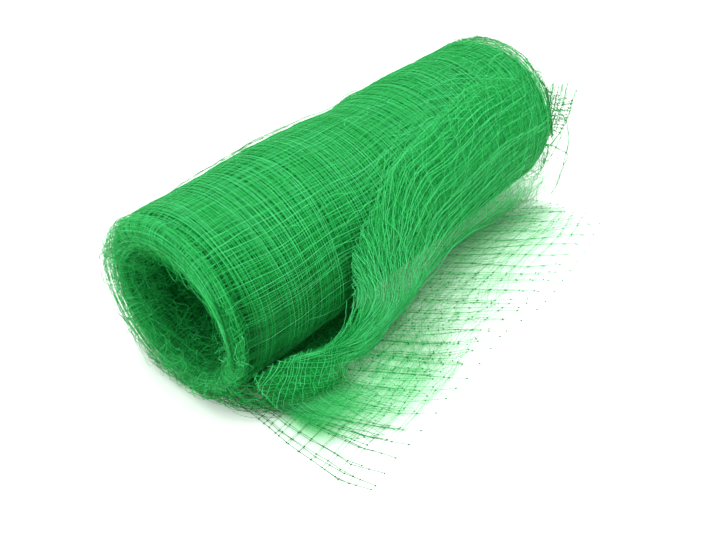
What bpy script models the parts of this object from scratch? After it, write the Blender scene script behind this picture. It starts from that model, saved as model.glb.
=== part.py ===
"""A wound roll of light knotted netting whose loose end has come off the roll.

The roll lies on the floor along X, with its near mouth at -X. Its loose end comes off towards -Y
as two sheets: loose_flap is gathered over the flank and falls to the floor, and floor_sheet is the
layer below it, laid flat from under the roll. The origin is the middle of the roll's flat spot.
"""

import math
from collections import namedtuple

import bmesh
import bpy
from mathutils import Vector

MM = 0.001

# Netting
MESH_PITCH = 15.0 * MM
CUT_PITCH = 2.0 * MESH_PITCH  # the net is cut through at every second mesh
STRAND_WIDTH = 4.0 * MM
HALF_STRAND = 0.5 * STRAND_WIDTH / CUT_PITCH  # of a cell
COMB_SHARE = 0.28  # of a cell: how far cut strand ends stand out past the last crossing
SHEET_THICKNESS = 2.0 * MM
FLAP_THICKNESS = 2.4 * MM
LAYER_GAP = 1.0 * MM  # between the flap's lying part and the sheet under it

# Roll
ROLL_AXIS_HEIGHT = 84.0 * MM
ROLL_SIDES = 44
ROLL_WIDENING = 1.006  # the roll sags a little, so it is wider than it is tall
UNDERSIDE_RADIUS = 87.0 * MM  # below the floor by a little, which gives the flat spot
RIB_HEIGHT = 0.5 * MM  # the wound rows of meshes stand up as ribs, one for each pitch
LUMP_HEIGHT = 0.7 * MM
BODY_START = -213.0 * MM
BODY_END = 228.0 * MM

OutlineStation = namedtuple("OutlineStation", "x radius")
ROLL_OUTLINE = (
    OutlineStation(-213, 86.8),
    OutlineStation(-160, 87.0),
    OutlineStation(-84, 88.6),
    OutlineStation(-30, 87.2),
    OutlineStation(26, 83.6),
    OutlineStation(60, 89.2),
    OutlineStation(104, 88.7),
    OutlineStation(165, 87.4),
    OutlineStation(228, 86.4),
)

# Rings from the body's near end round the lip and down the funnel, through the core,
# and out round the far lip.
EndRing = namedtuple("EndRing", "x centre_y centre_z half_width half_height")
NEAR_LIP = (
    EndRing(-221, 0, 84.0, 85.2, 84.4),
    EndRing(-229, 0, 84.5, 86.4, 85.2),
    EndRing(-237, -1, 85.5, 83.0, 81.5),
    EndRing(-242, -4, 87.0, 77.5, 74.5),
    EndRing(-243, -8, 89.0, 72.0, 66.0),
    EndRing(-240, -12, 91.0, 68.0, 58.0),
    EndRing(-232, -14, 91.5, 64.5, 52.0),
    EndRing(-218, -14, 91.0, 59.5, 47.0),
)
CORE = (
    EndRing(-196, -12, 90.0, 53.0, 41.5),
    EndRing(-165, -10, 89.0, 46.0, 36.5),
    EndRing(-125, -8, 88.0, 40.0, 32.0),
    EndRing(-70, -6, 87.0, 36.0, 29.0),
    EndRing(0, -5, 86.0, 34.0, 27.5),
    EndRing(80, -5, 86.0, 34.5, 28.0),
    EndRing(145, -5, 86.0, 37.0, 31.0),
    EndRing(190, -5, 86.0, 43.0, 37.0),
)
FAR_LIP = (
    EndRing(214, -5, 86.0, 50.0, 45.0),
    EndRing(230, -4, 86.0, 58.0, 54.0),
    EndRing(240, -2, 85.5, 66.0, 63.0),
    EndRing(244, 0, 85.0, 73.0, 71.0),
    EndRing(243, 0, 84.5, 79.0, 78.0),
    EndRing(237, 0, 84.2, 84.0, 83.2),
)

# Loose end. Angles lean from straight up over the roll towards -Y, and reaches are from its axis.
FlapSection = namedtuple(
    "FlapSection",
    "ridge_x ridge_lean ridge_reach bulge_x bulge_lean bulge_reach foot_x foot_y edge_x edge_y",
)
FLAP_SECTIONS = (
    FlapSection(-226, 108, 91.5, -222, 119, 99.0, -206, -92, -199, -147),
    FlapSection(-200, 107, 93.0, -195, 117, 105.0, -187, -106, -187, -173),
    FlapSection(-178, 107, 94.5, -172, 116, 109.0, -166, -113, -160, -192),
    FlapSection(-156, 109, 97.0, -148, 115, 114.0, -138, -116, -120, -197),
    FlapSection(-138, 105, 101.5, -124, 114, 121.0, -108, -108, -79, -193),
    FlapSection(-118, 100, 103.0, -100, 111, 120.0, -80, -99, -43, -188),
    FlapSection(-106, 92, 101.0, -78, 108, 118.0, -52, -90, -12, -183),
    FlapSection(-103, 82, 101.0, -56, 105, 116.0, -28, -83, 12, -178),
    FlapSection(-90, 70, 98.0, -34, 101, 113.0, 0, -76, 38, -167),
    FlapSection(-56, 60, 93.0, -8, 99, 107.0, 28, -70, 66, -152),
    FlapSection(-10, 48, 91.0, 24, 99, 100.0, 60, -66, 96, -140),
    FlapSection(50, 42, 91.0, 72, 103, 95.0, 100, -67, 134, -136),
    FlapSection(125, 34, 90.5, 142, 103, 93.0, 160, -76, 184, -136),
    FlapSection(175, 36, 90.0, 190, 103, 92.0, 205, -86, 215, -134),
    FlapSection(226, 38, 89.5, 237, 104, 91.5, 236, -93, 238, -132),
)
FLAP_STANDOFF = 4.4 * MM  # the flap's middle over the roll's outline, where it hugs the roll
FLAP_BRIDGES = 14.0 * MM  # it spans a dip in the outline that is narrower than twice this
TUCK_SHARE = 0.12  # how far the flap runs on behind its ridge, as a share of ridge to bulge
TUCK_DROP = 6.0 * MM
PLEAT_HEIGHT = 2.2 * MM
PLEATS = 3
GATHER_MIDDLE = 0.45  # where along the flap the pleats are deepest
GATHER_REACH = 0.30
FLAP_LONG_CELLS = 16
FLAP_CROSS_CELLS = 3
CURTAIN_STRIPS = 13
FOOT_SHARE = 0.12  # of the lying part, left uncut beside the fold at the foot
FOLD_SOFTNESS = 9.0 * MM  # half the length over which the net bends where it meets the floor

# Floor sheet
FLOOR_INNER_Y = -31.0 * MM
EdgeStation = namedtuple("EdgeStation", "along front_x back_x")
FLOOR_ENDS = (  # along runs from under the roll, 0, to the cut edge, 1
    EdgeStation(0.0, -219, 214),
    EdgeStation(0.3, -222, 222),
    EdgeStation(0.6, -226, 232),
    EdgeStation(0.85, -226, 236),
    EdgeStation(1.0, -218, 238),
)
CutStation = namedtuple("CutStation", "across y")
FLOOR_CUT = (  # across runs from the front edge, 0, to the back edge, 1
    CutStation(0.0, -206),
    CutStation(0.12, -200),
    CutStation(0.3, -193),
    CutStation(0.5, -185),
    CutStation(0.64, -191),
    CutStation(0.82, -182),
    CutStation(1.0, -165),
)
FLOOR_LONG_CELLS = 15
FLOOR_CROSS_CELLS = 5
RIPPLE_HEIGHT = 3.2 * MM
RIPPLE_SPACING = 92.0 * MM
RIPPLE_SKEW = 0.45  # the ripples fan out from the gather as they run to the edge
RIPPLE_STARTS_Y = -105.0 * MM
RIPPLE_FULL_Y = -175.0 * MM

GREEN = (0.03, 0.48, 0.12, 1.0)
DEEP_GREEN = (0.015, 0.33, 0.07, 1.0)


def clear_scene():
    for thing in list(bpy.data.objects):
        bpy.data.objects.remove(thing, do_unlink=True)


def smoothstep(low, high, value):
    share = min(max((value - low) / (high - low), 0.0), 1.0)
    return share * share * (3.0 - 2.0 * share)


def spline_between(before, start, end, after, share):
    """A Catmull-Rom curve from start to end, for numbers or vectors."""
    squared = 2.0 * before - 5.0 * start + 4.0 * end - after
    cubed = 3.0 * (start - end) + after - before
    return start + 0.5 * share * ((end - before) + share * (squared + share * cubed))


def along_table(rows, share):
    """One row of values at a share from 0 to 1 through a table's evenly spread rows."""
    place = share * (len(rows) - 1)
    index = min(int(place), len(rows) - 2)
    near = [rows[min(max(index + step, 0), len(rows) - 1)] for step in (-1, 0, 1, 2)]
    return type(rows[0])(*(spline_between(*column, place - index) for column in zip(*near)))


def at_station(rows, value):
    """The second column of a two-column table at a value of its first, with smooth steps."""
    for before, after in zip(rows, rows[1:]):
        if value <= after[0]:
            return before[1] + (after[1] - before[1]) * smoothstep(before[0], after[0], value)
    return rows[-1][1]


def outline_radius(x):
    return at_station(ROLL_OUTLINE, x / MM) * MM


def new_object(name, mesh, colour, roughness):
    finish = bpy.data.materials.new(name + "_plastic_thread")
    finish.use_nodes = True
    shader = finish.node_tree.nodes["Principled BSDF"]
    shader.inputs["Base Color"].default_value = colour
    shader.inputs["Roughness"].default_value = roughness
    shader.inputs["Metallic"].default_value = 0.0
    finish.diffuse_color = colour
    mesh.materials.append(finish)
    mesh.shade_smooth()
    mesh.set_sharp_from_angle(angle=math.radians(50.0))
    thing = bpy.data.objects.new(name, mesh)
    bpy.context.collection.objects.link(thing)
    return thing


def end_ring(ring):
    points = []
    for side in range(ROLL_SIDES):
        angle = math.tau * side / ROLL_SIDES
        y = (ring.centre_y + ring.half_width * math.cos(angle)) * MM
        z = (ring.centre_z + ring.half_height * math.sin(angle)) * MM
        points.append(Vector((ring.x * MM, y, max(z, 0.0))))
    return points


def body_ring(x, rib):
    """A ring of the wound body: its outline, one rib or the trough beside it, and soft lumps."""
    points = []
    for side in range(ROLL_SIDES):
        angle = math.tau * side / ROLL_SIDES
        low = smoothstep(0.2, 0.8, -math.sin(angle))
        lump = LUMP_HEIGHT * math.sin(3.0 * angle + 24.0 * x) * (1.0 - low)
        radius = outline_radius(x) + lump + rib * RIB_HEIGHT * (1.0 - low)
        radius += (UNDERSIDE_RADIUS - radius) * low
        y = radius * ROLL_WIDENING * math.cos(angle)
        z = ROLL_AXIS_HEIGHT + radius * math.sin(angle)
        points.append(Vector((x, y, max(z, 0.0))))
    return points


def make_roll():
    """The wound roll: one closed skin from the body round both lips and through the core."""
    steps = round((BODY_END - BODY_START) / (0.5 * MESH_PITCH))
    rings = []
    for step in range(steps + 1):
        x = BODY_END + (BODY_START - BODY_END) * step / steps
        rings.append(body_ring(x, 1.0 if step % 2 else -1.0))
    rings += [end_ring(ring) for ring in NEAR_LIP + CORE + FAR_LIP]

    skin = bmesh.new()
    corners = [[skin.verts.new(point) for point in ring] for ring in rings]
    for index, ring in enumerate(corners):
        following = corners[(index + 1) % len(corners)]
        for side in range(ROLL_SIDES):
            beside = (side + 1) % ROLL_SIDES
            skin.faces.new((ring[side], ring[beside], following[beside], following[side]))
    bmesh.ops.recalc_face_normals(skin, faces=skin.faces)
    mesh = bpy.data.meshes.new("net_roll")
    skin.to_mesh(mesh)
    skin.free()
    return new_object("net_roll", mesh, GREEN, 0.45)


def ripple(x, y):
    """How far the laid net is lifted off the floor in a low fan of folds."""
    strength = smoothstep(-RIPPLE_STARTS_Y, -RIPPLE_FULL_Y, -y)
    phase = (x + RIPPLE_SKEW * (y - RIPPLE_STARTS_Y)) / RIPPLE_SPACING
    return RIPPLE_HEIGHT * strength * (0.5 - 0.5 * math.cos(math.tau * phase))


def strand_lines(cells):
    """Lines across a net of so many cells, from 0 to 1: both sides of every strand."""
    lines = [0.0]
    for cell in range(cells):
        lines += [(cell + HALF_STRAND) / cells, (cell + 1.0 - HALF_STRAND) / cells]
    return lines + [1.0]


def cut_end_lines(cells):
    """Lines down to a cut edge, from 0 to 1: strand ends stand out past the last crossing."""
    whole = cells + COMB_SHARE
    inner = [line * cells / whole for line in strand_lines(cells)[:-1]]
    return inner + [(cells + HALF_STRAND) / whole, 1.0]


def net_sheet(name, rows, is_gap, thickness, colour):
    """A sheet from rows of points, with its gaps left out, thickened to both sides."""
    skin = bmesh.new()
    corners = [[skin.verts.new(point) for point in row] for row in rows]
    for row in range(len(rows) - 1):
        for strip in range(len(rows[0]) - 1):
            if not is_gap(row, strip):
                skin.faces.new(
                    (
                        corners[row][strip],
                        corners[row][strip + 1],
                        corners[row + 1][strip + 1],
                        corners[row + 1][strip],
                    )
                )
    mesh = bpy.data.meshes.new(name)
    skin.to_mesh(mesh)
    skin.free()
    thing = new_object(name, mesh, colour, 0.5)
    thicken = thing.modifiers.new("thickness", "SOLIDIFY")
    thicken.thickness = thickness
    thicken.offset = 0.0
    return thing


def make_floor_sheet():
    """The lowest layer of the loose end: laid on the floor, square-meshed, cut along one edge."""
    rows = []
    for across in strand_lines(FLOOR_LONG_CELLS):
        row = []
        for along in cut_end_lines(FLOOR_CROSS_CELLS):
            ends = at_ends(along)
            x = (ends.front_x + (ends.back_x - ends.front_x) * across) * MM
            y = FLOOR_INNER_Y + (at_station(FLOOR_CUT, across) * MM - FLOOR_INNER_Y) * along
            row.append(Vector((x, y, 0.5 * SHEET_THICKNESS + ripple(x, y))))
        rows.append(row)
    return net_sheet(
        "floor_sheet",
        rows,
        lambda row, strip: row % 2 == 1 and strip % 2 == 1,
        SHEET_THICKNESS,
        DEEP_GREEN,
    )


def at_ends(along):
    """The floor sheet's front and back edges at a share of its depth."""
    front = at_station([(row.along, row.front_x) for row in FLOOR_ENDS], along)
    back = at_station([(row.along, row.back_x) for row in FLOOR_ENDS], along)
    return EdgeStation(along, front, back)


def hugging_reach(x):
    """The least reach of the flap at x, over the highest part of the roll's outline near there."""
    near = (x - FLAP_BRIDGES, x, x + FLAP_BRIDGES)
    return max(outline_radius(place) for place in near) + FLAP_STANDOFF


def over_roll(x, lean, reach):
    angle = math.radians(lean)
    return Vector((x, -reach * math.sin(angle), ROLL_AXIS_HEIGHT + reach * math.cos(angle)))


def flap_profile(section, gather, rest):
    """Points down one section of the flap, from behind its ridge to its foot on the floor."""
    points = []
    for step in range(-1, 9):
        share = step / 8.0 if step >= 0 else -TUCK_SHARE
        x = (section.ridge_x + (section.bulge_x - section.ridge_x) * share) * MM
        lean = section.ridge_lean + (section.bulge_lean - section.ridge_lean) * share
        reach = (section.ridge_reach + (section.bulge_reach - section.ridge_reach) * share) * MM
        if step < 0:
            reach -= TUCK_DROP
        else:
            reach += gather * PLEAT_HEIGHT * math.sin(math.tau * PLEATS * share)
        points.append(over_roll(x, lean, max(reach, hugging_reach(x))))
    foot = Vector((section.foot_x * MM, section.foot_y * MM, rest))
    bulge = points[-1]
    for share, swell in ((0.35, 0.12), (0.7, 0.08)):
        point = bulge.lerp(foot, share)
        point.y -= swell * (bulge.z - foot.z)
        points.append(point)
    points.append(foot)
    return points


def evenly_spaced(points, count):
    """Points at equal steps along a line through the given ones."""
    lengths = [0.0]
    for before, after in zip(points, points[1:]):
        lengths.append(lengths[-1] + (after - before).length)
    taken = []
    index = 0
    for step in range(count + 1):
        target = lengths[-1] * step / count
        while index < len(points) - 2 and lengths[index + 1] < target:
            index += 1
        span = lengths[index + 1] - lengths[index]
        taken.append(points[index].lerp(points[index + 1], (target - lengths[index]) / span))
    return taken


def smooth_curve(points):
    """A Catmull-Rom curve through the points."""
    curve = []
    for index in range(len(points) - 1):
        near = [points[min(max(index + step, 0), len(points) - 1)] for step in (-1, 0, 1, 2)]
        curve += [spline_between(*near, step / 6.0) for step in range(6)]
    return curve + [points[-1]]


def softened(points, window):
    """The same line with every bend spread over so many points to each side."""
    soft = []
    for index in range(len(points)):
        reach = min(window, index, len(points) - 1 - index)
        near = points[index - reach : index + reach + 1]
        soft.append(sum(near, Vector()) / len(near))
    return soft


def flap_row(section, gather, lying_lines):
    """One section of the flap: even strips down the curtain, then the lying strands and gaps."""
    rest = SHEET_THICKNESS + LAYER_GAP + 0.5 * FLAP_THICKNESS
    hanging = smooth_curve(flap_profile(section, gather, rest))
    edge = Vector((section.edge_x * MM, section.edge_y * MM, rest))
    hanging_length = sum((b - a).length for a, b in zip(hanging, hanging[1:]))
    lying_length = (edge - hanging[-1]).length
    hanging_steps = max(round(hanging_length / MM), 1)
    lying_steps = max(round(lying_length / MM), 1)
    line = evenly_spaced(hanging, hanging_steps) + evenly_spaced([hanging[-1], edge], lying_steps)[1:]
    line = softened(line, round(FOLD_SOFTNESS / MM))
    places = [hanging_steps * step / CURTAIN_STRIPS for step in range(CURTAIN_STRIPS)]
    places += [hanging_steps + lying_steps * along for along in lying_lines]
    row = []
    for place in places:
        index = min(int(place), len(line) - 2)
        point = line[index].lerp(line[index + 1], place - index)
        point.z = max(point.z, rest + ripple(point.x, point.y))
        row.append(point)
    return row


def make_flap():
    """The upper loose layers: gathered over the flank, down to the floor, and laid out there."""
    lying_lines = [0.0]
    for line in cut_end_lines(FLAP_CROSS_CELLS)[1:]:
        lying_lines.append(FOOT_SHARE + (1.0 - FOOT_SHARE) * line)
    rows = []
    for share in strand_lines(FLAP_LONG_CELLS):
        away = abs(share - GATHER_MIDDLE) / GATHER_REACH
        gather = 1.0 - smoothstep(0.3, 1.0, away)
        rows.append(flap_row(along_table(FLAP_SECTIONS, share), gather, lying_lines))
    first_gap = CURTAIN_STRIPS + 1
    return net_sheet(
        "loose_flap",
        rows,
        lambda row, strip: row % 2 == 1 and strip >= first_gap and (strip - first_gap) % 2 == 0,
        FLAP_THICKNESS,
        GREEN,
    )


clear_scene()
make_roll()
make_floor_sheet()
make_flap()
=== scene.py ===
"""A wound roll of light green bird netting with its loose end pulled out over the floor.

The netting is made thread by thread: every turn of the roll is a net of its own, laid a little
under the turn outside it, over a bed that stands for the turns packed below. Rows and columns
count the steps of a surface's table, stations run in millimetres along the wound form, and an
angle round it is 0 at +Y and a quarter turn at its top.
"""

import functools
import math

import bpy
import numpy as np
from mathutils import Euler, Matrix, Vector


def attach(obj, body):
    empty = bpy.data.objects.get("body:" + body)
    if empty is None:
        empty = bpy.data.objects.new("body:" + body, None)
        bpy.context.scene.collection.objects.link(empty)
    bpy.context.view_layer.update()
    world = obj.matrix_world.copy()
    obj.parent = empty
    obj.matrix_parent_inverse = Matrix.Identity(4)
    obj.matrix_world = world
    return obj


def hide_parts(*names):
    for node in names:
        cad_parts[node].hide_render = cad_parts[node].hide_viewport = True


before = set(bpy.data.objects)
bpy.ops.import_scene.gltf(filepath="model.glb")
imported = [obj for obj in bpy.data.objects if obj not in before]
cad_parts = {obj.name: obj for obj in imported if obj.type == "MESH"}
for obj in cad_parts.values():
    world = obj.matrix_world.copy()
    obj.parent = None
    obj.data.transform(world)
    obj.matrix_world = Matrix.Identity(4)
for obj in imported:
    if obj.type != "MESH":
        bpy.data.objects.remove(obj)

bl_info = {
    "name": "Bird netting roll",
    "version": (1, 0, 0),
    "blender": (4, 5, 0),
    "location": "View3D > Sidebar > Netting",
    "description": "Makes a wound roll of bird netting thread by thread, with its loose end laid out",
    "category": "Object",
}

MM = 0.001
BODY = "root"
THREAD_MAP = "OFBake"  # across it runs a thread's tone, and up it the way along the thread
NET_MAP = "net_map"  # counts meshes

SEEDS = {"bed": 11, "turns": 23, "tangle": 37, "stray": 41, "flap": 53, "floor": 67}

# The wound form, in millimetres, as the solids have it.
AXIS_HEIGHT = 84.0
WIDENING = 1.006
UNDERSIDE_RADIUS = 87.0
LUMP_HEIGHT = 0.7
BODY_START = -213.0
BODY_END = 228.0
BODY_RING_STEP = 7.5
OUTLINE_X = (-213, -160, -84, -30, 26, 60, 104, 165, 228)
OUTLINE_RADIUS = (86.8, 87.0, 88.6, 87.2, 83.6, 89.2, 88.7, 87.4, 86.4)
# Rings round the ends: x, centre_y, centre_z, half_width, half_height.
NEAR_RINGS = (
    (-70, -6, 87, 36, 29), (-125, -8, 88, 40, 32), (-165, -10, 89, 46, 36.5),
    (-196, -12, 90, 53, 41.5), (-218, -14, 91, 59.5, 47), (-232, -14, 91.5, 64.5, 52),
    (-240, -12, 91, 68, 58), (-243, -8, 89, 72, 66), (-242, -4, 87, 77.5, 74.5),
    (-237, -1, 85.5, 83, 81.5), (-229, 0, 84.5, 86.4, 85.2), (-221, 0, 84, 85.2, 84.4),
)
FAR_RINGS = (
    (237, 0, 84.2, 84, 83.2), (243, 0, 84.5, 79, 78), (244, 0, 85, 73, 71),
    (240, -2, 85.5, 66, 63), (230, -4, 86, 58, 54), (214, -5, 86, 50, 45),
    (190, -5, 86, 43, 37), (145, -5, 86, 37, 31), (80, -5, 86, 34.5, 28), (0, -5, 86, 34, 27.5),
)
GROOVE_X = -221.0  # where the rolled lip meets the body
ANGLE_STEPS = 176
STATION_STEP = 1.5  # between the rows of the wound form's table
LEAST_TOP = 140.0  # lower than this, the top of a ring is inside a mouth
LEAST_HEIGHT = 0.4  # of a wound thread's middle over the floor
FRAYED_HEIGHT = 1.0  # the same for threads that stand off the ends

# The turns on the roll.
ROLL_GIRTH = 553.0
PACKED_MESH = 15.0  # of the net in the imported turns' finish
BAND_SPACING = 7.0  # between the soft bands round the far part of the body
TURNS = 19
# Piece, first and last turn, threads along the roll in each turn, spacing of the threads round it.
TURN_GROUPS = (
    ("outer_turns", 0, 7, 37, 1.0), ("middle_turns", 7, 13, 37, 1.15), ("inner_turns", 13, 19, 31, 1.4),
)
TURNS_PROUD = (2.5, 1.9, 1.3, 0.6)  # how far the outermost turns stand off at the open rims
GOLDEN = 0.618  # shifts each turn's threads by a share of their spacing
RELIEF_LENGTHS = (30.0, 140.0)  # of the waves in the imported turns
BODY_RADIUS = 88.0  # divides ways round the body to give angles
RIM_RADIUS = 86.0  # the same at the rims

# The loose flap, section by section from the near end: x, lean and reach of ridge, the same of
# bulge, x and y of foot, x and y of cut edge. A lean is in degrees from straight up.
FLAP_SECTIONS = (
    (-226, 108, 91.5, -222, 119, 99, -206, -92, -199, -147),
    (-200, 107, 93, -195, 117, 105, -187, -106, -187, -173),
    (-178, 107, 94.5, -172, 116, 109, -166, -113, -160, -192),
    (-156, 109, 97, -148, 115, 114, -138, -116, -120, -197),
    (-138, 105, 101.5, -124, 114, 121, -108, -108, -79, -193),
    (-118, 100, 103, -100, 111, 120, -80, -99, -43, -188),
    (-106, 92, 101, -78, 108, 118, -52, -90, -12, -183),
    (-103, 82, 101, -56, 105, 116, -28, -83, 12, -178),
    (-90, 70, 98, -34, 101, 113, 0, -76, 38, -167),
    (-56, 60, 93, -8, 99, 107, 28, -70, 66, -152),
    (-10, 48, 91, 24, 99, 100, 60, -66, 96, -140),
    (50, 42, 91, 72, 103, 95, 100, -67, 134, -136),
    (125, 34, 90.5, 142, 103, 93, 160, -76, 184, -136),
    (175, 36, 90, 190, 103, 92, 205, -86, 215, -134),
    (226, 38, 89.5, 237, 104, 91.5, 236, -93, 238, -132),
)
FLAP_END = 238.0
RIDGE_REACH = 91.0  # divides ways round the roll at the ridge to give angles
PAINTED_LIGHT_ROWS = (56.0, 14.0)  # middle and width of the rows where painted light makes the band's crest paler
FLAP_STANDOFF = 4.4
FLAP_BRIDGES = 14.0  # how far along the roll the flap spans a dip
FLAP_REST = 4.2  # height of the flap's middle where it lies on the floor
FOLD_SOFTNESS = 9
TUCK_SHARE = 0.12
TUCK_DROP = 6.0
HANG = 60  # columns down to the flap's foot
LYING = 30  # columns from there to its cut edge
# Where the flap's threads begin, in its rows and columns: near the end the net sags off its ridge.
BRIM_ROWS = (0, 4, 9, 16, 22, 28, 34, 38, 42, 46, 52)
BRIM_COLUMNS = (1, 3, 4, 8.5, 12, 13.5, 13, 9, 6, 2, 0)
# Each layer of the flap: whether it reaches the near end and the floor, and how far its threads
# swing towards the near end on their way down, as a share of SWING.
FLAP_LAYERS = ((False, 1.0), (True, 0.95), (False, 0.65), (False, 1.2), (True, 1.0), (False, 0.8))
SWING_ROWS = (0, 20, 50, 66, 84, 130)
SWING = (14, 17, 24, 28, 16, 12)  # in rows, by the row that a thread begins at
FLAP_OFFSET = -1.3  # of its first layer from its surface
FLAP_LAYER_STEP = 0.7  # between its layers where they hang
LYING_STEP = 0.2  # between them where they lie on the floor
LONG_THREADS = 44
DOWN_THREADS = 31
OPEN_THREADS = 11
# As a share of the way to the foot, how far the fanned threads come down at these rows.
FAN_ROWS = (14, 20, 26, 33, 48)
FAN_REACH = (0.45, 0.52, 0.64, 0.82, 1.0)
# The threads down the flap begin a little closer together near the end: rows if even, and as laid.
EVEN_TOPS = (0, 33, 60, 200)
LAID_TOPS = (0, 23, 56, 196)
GATHERED = 0.43  # share of the hanging height that the band's threads come down by
# A thread that bows off the foot of the band: its row, its column, and how far off it stands.
BOWED_THREAD = (
    (60, 40, 1), (64, 41, 4), (70, 41, 6), (76, 39, 6), (82, 41, 6),
    (87.5, 45, 5), (92, 53, 4), (96, 62, 3), (100, 74, 1),
)

# The corner of the net that stands off the far end, thread by thread: y and z of its points.
CORNER_X = 246.0  # of its lower points, and the higher ones lean further out
ROLL_MIDDLE_Z = 87.0  # its threads are tied to the rim on the way towards this height
STANDING_THREADS = (
    ((-72.7, 69.2), (-69.4, 96.5), (-67.2, 116.4), (-65.4, 127.7)),
    ((-75.1, 77.2), (-72.8, 97.6), (-71.2, 119.4), (-71.5, 133.8)),
    ((-77.4, 79.9), (-77.1, 99.1), (-77.8, 116.5), (-78.6, 133.6)),
    ((-81.3, 72.3), (-83.2, 94.2), (-85.5, 112.3), (-87.3, 128.0), (-86.8, 141.1)),
    (
        (-76, 35.4), (-79.4, 49.7), (-80.9, 63.2), (-90.7, 81.1),
        (-95.2, 101.9), (-95.7, 119.1), (-98.9, 135.1),
    ),
    (
        (-95.2, 99), (-100.5, 88), (-103.3, 75), (-104.7, 61.2),
        (-102.3, 43.8), (-100.1, 24.2), (-93, 3),
    ),
    ((-79.4, 49.7), (-76.3, 33.6), (-69, 12)),
)
CROSSING_THREADS = (
    ((-64.5, 122.4), (-72.3, 123.2)),
    ((-66.8, 112.9), (-78.3, 113.3), (-88.3, 116.6), (-97.7, 122.3)),
    ((-70, 98.4), (-76.5, 102.4), (-84.8, 106.1), (-96.4, 110)),
    ((-72.4, 88.7), (-80.1, 91.4), (-94.9, 98.3)),
    ((-72.8, 80), (-83.5, 81.2), (-90.7, 81.1)),
    ((-76, 60), (-84, 64), (-104.7, 61.2)),
)

# The floor sheet. Its ends: share of the way out, x of the near and the far one. Its cut edge:
# share of the way along the roll, and y. Its layers: how far each reaches to the cut edge, and how
# its outward threads are shifted, as a share of the way to the next one.
FLOOR_INNER_Y = -31.0
FLOOR_ENDS = ((0, -219, 214), (0.3, -222, 222), (0.6, -226, 232), (0.85, -226, 236), (1, -218, 238))
FLOOR_CUT = ((0, -206), (0.12, -200), (0.3, -193), (0.5, -185), (0.64, -191), (0.82, -182), (1, -165))
OUTWARD_THREADS = 30
CROSS_THREADS = 12
FLOOR_OFFSET = 0.2
FLOOR_LAYER_STEP = 0.3
FLOOR_LAYERS = ((1.0, 0.0), (0.9, 0.14), (0.86, 0.5), (0.78, 0.68))
# Where its first outward threads end, in rows, and the rest at this pitch; and how many rows a
# thread gains towards the far end in each column, by where it ends.
FIRST_ENDS = (0.0, 1.8, 4.6, 9.4, 15.0, 20.0)
END_PITCH = 5.1
GAIN_ENDS = (2, 9, 16, 22, 60)
GAIN = (0.02, 0.07, 0.26, 0.38, 0.5)
RIPPLE_HEIGHT = 3.2
RIPPLE_SPACING = 92.0
RIPPLE_SKEW = 0.45
RIPPLE_STARTS = 105.0
RIPPLE_FULL = 175.0
BUNCH_SPACING = 26.0  # between the folds that the laid threads gather in
BUNCH_SKEW = 0.66

# The sheer nets: their meshes along and across, and where the haze comes in and goes out.
FLAP_MESHES = (31.0, 18.0)
FLAP_HAZE = (("Y", 0.0, 1.2), ("Y", 16.5, 12.0), ("X", 0.0, 1.6), ("X", 30.5, 27.0))
FLOOR_MESHES = (31.0, 11.0)
FLOOR_HAZE = (("Y", 11.0, 5.0), ("X", -1.2, 1.8), ("X", 30.5, 27.0))

# The stage, in metres and radians.
CAMERA_PLACE = (-0.548, -0.4767, 0.5552)
CAMERA_HEADING = 0.71
CAMERA_DIP = 0.6632
FLOOR_HALF = 3.0
KEY_PLACE = (0.08, 0.05, 1.6)
KEY_SIZE = 2.2


# ---- Curves and surfaces ----


def unit(vectors):
    """The same directions at length one."""
    return vectors / np.maximum(np.linalg.norm(vectors, axis=-1, keepdims=True), 1e-12)


def shares(count):
    """So many even shares, from none to all."""
    return np.linspace(0.0, 1.0, count)


def smoothstep(low, high, value):
    """Nothing below low, one above high, and a smooth step between."""
    share = np.clip((np.asarray(value, float) - low) / (high - low), 0.0, 1.0)
    return share * share * (3.0 - 2.0 * share)


def bell(value, middle, width):
    """One at the middle, falling to nothing a few widths away."""
    return np.exp(-(((value - middle) / width) ** 2))


def about(angle, middle, width):
    """The same round a circle, in radians."""
    return bell(np.mod(angle - middle + math.pi, math.tau) - math.pi, 0.0, width)


def between(first, second, share):
    """Values on the way from the first ones to the second ones."""
    return tuple(one + (other - one) * share for one, other in zip(first, second))


def at_station(stations, values, place):
    """A table read at places between its stations, with smooth steps."""
    stations = np.asarray(stations, float)
    values = np.asarray(values, float)
    index = np.clip(np.searchsorted(stations, place, side="left") - 1, 0, len(stations) - 2)
    share = smoothstep(0.0, 1.0, (place - stations[index]) / (stations[index + 1] - stations[index]))
    return values[index] + (values[index + 1] - values[index]) * share


def catmull_rom(rows, steps):
    """Rows of values made finer by a Catmull-Rom curve, with so many steps between two rows."""
    rows = np.asarray(rows, float)
    padded = np.concatenate((rows[:1], rows, rows[-1:]))
    before, start, end, after = padded[:-3], padded[1:-2], padded[2:-1], padded[3:]
    finer = []
    for share in np.arange(steps) / steps:
        squared = 2.0 * before - 5.0 * start + 4.0 * end - after
        cubed = 3.0 * (start - end) + after - before
        finer.append(start + 0.5 * share * ((end - before) + share * (squared + share * cubed)))
    finer = np.stack(finer, 1).reshape((-1,) + rows.shape[1:])
    return np.concatenate((finer, rows[-1:]))


def resampled(points, count):
    """Points at equal steps along a line."""
    lengths = np.concatenate(((0.0,), np.cumsum(np.linalg.norm(np.diff(points, axis=0), axis=1))))
    places = np.linspace(0.0, lengths[-1], count)
    return np.stack([np.interp(places, lengths, column) for column in points.T], 1)


def smooth_line(points, count):
    """Points at equal steps along a smooth line through a few."""
    return resampled(catmull_rom(points, 6), count)


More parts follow.
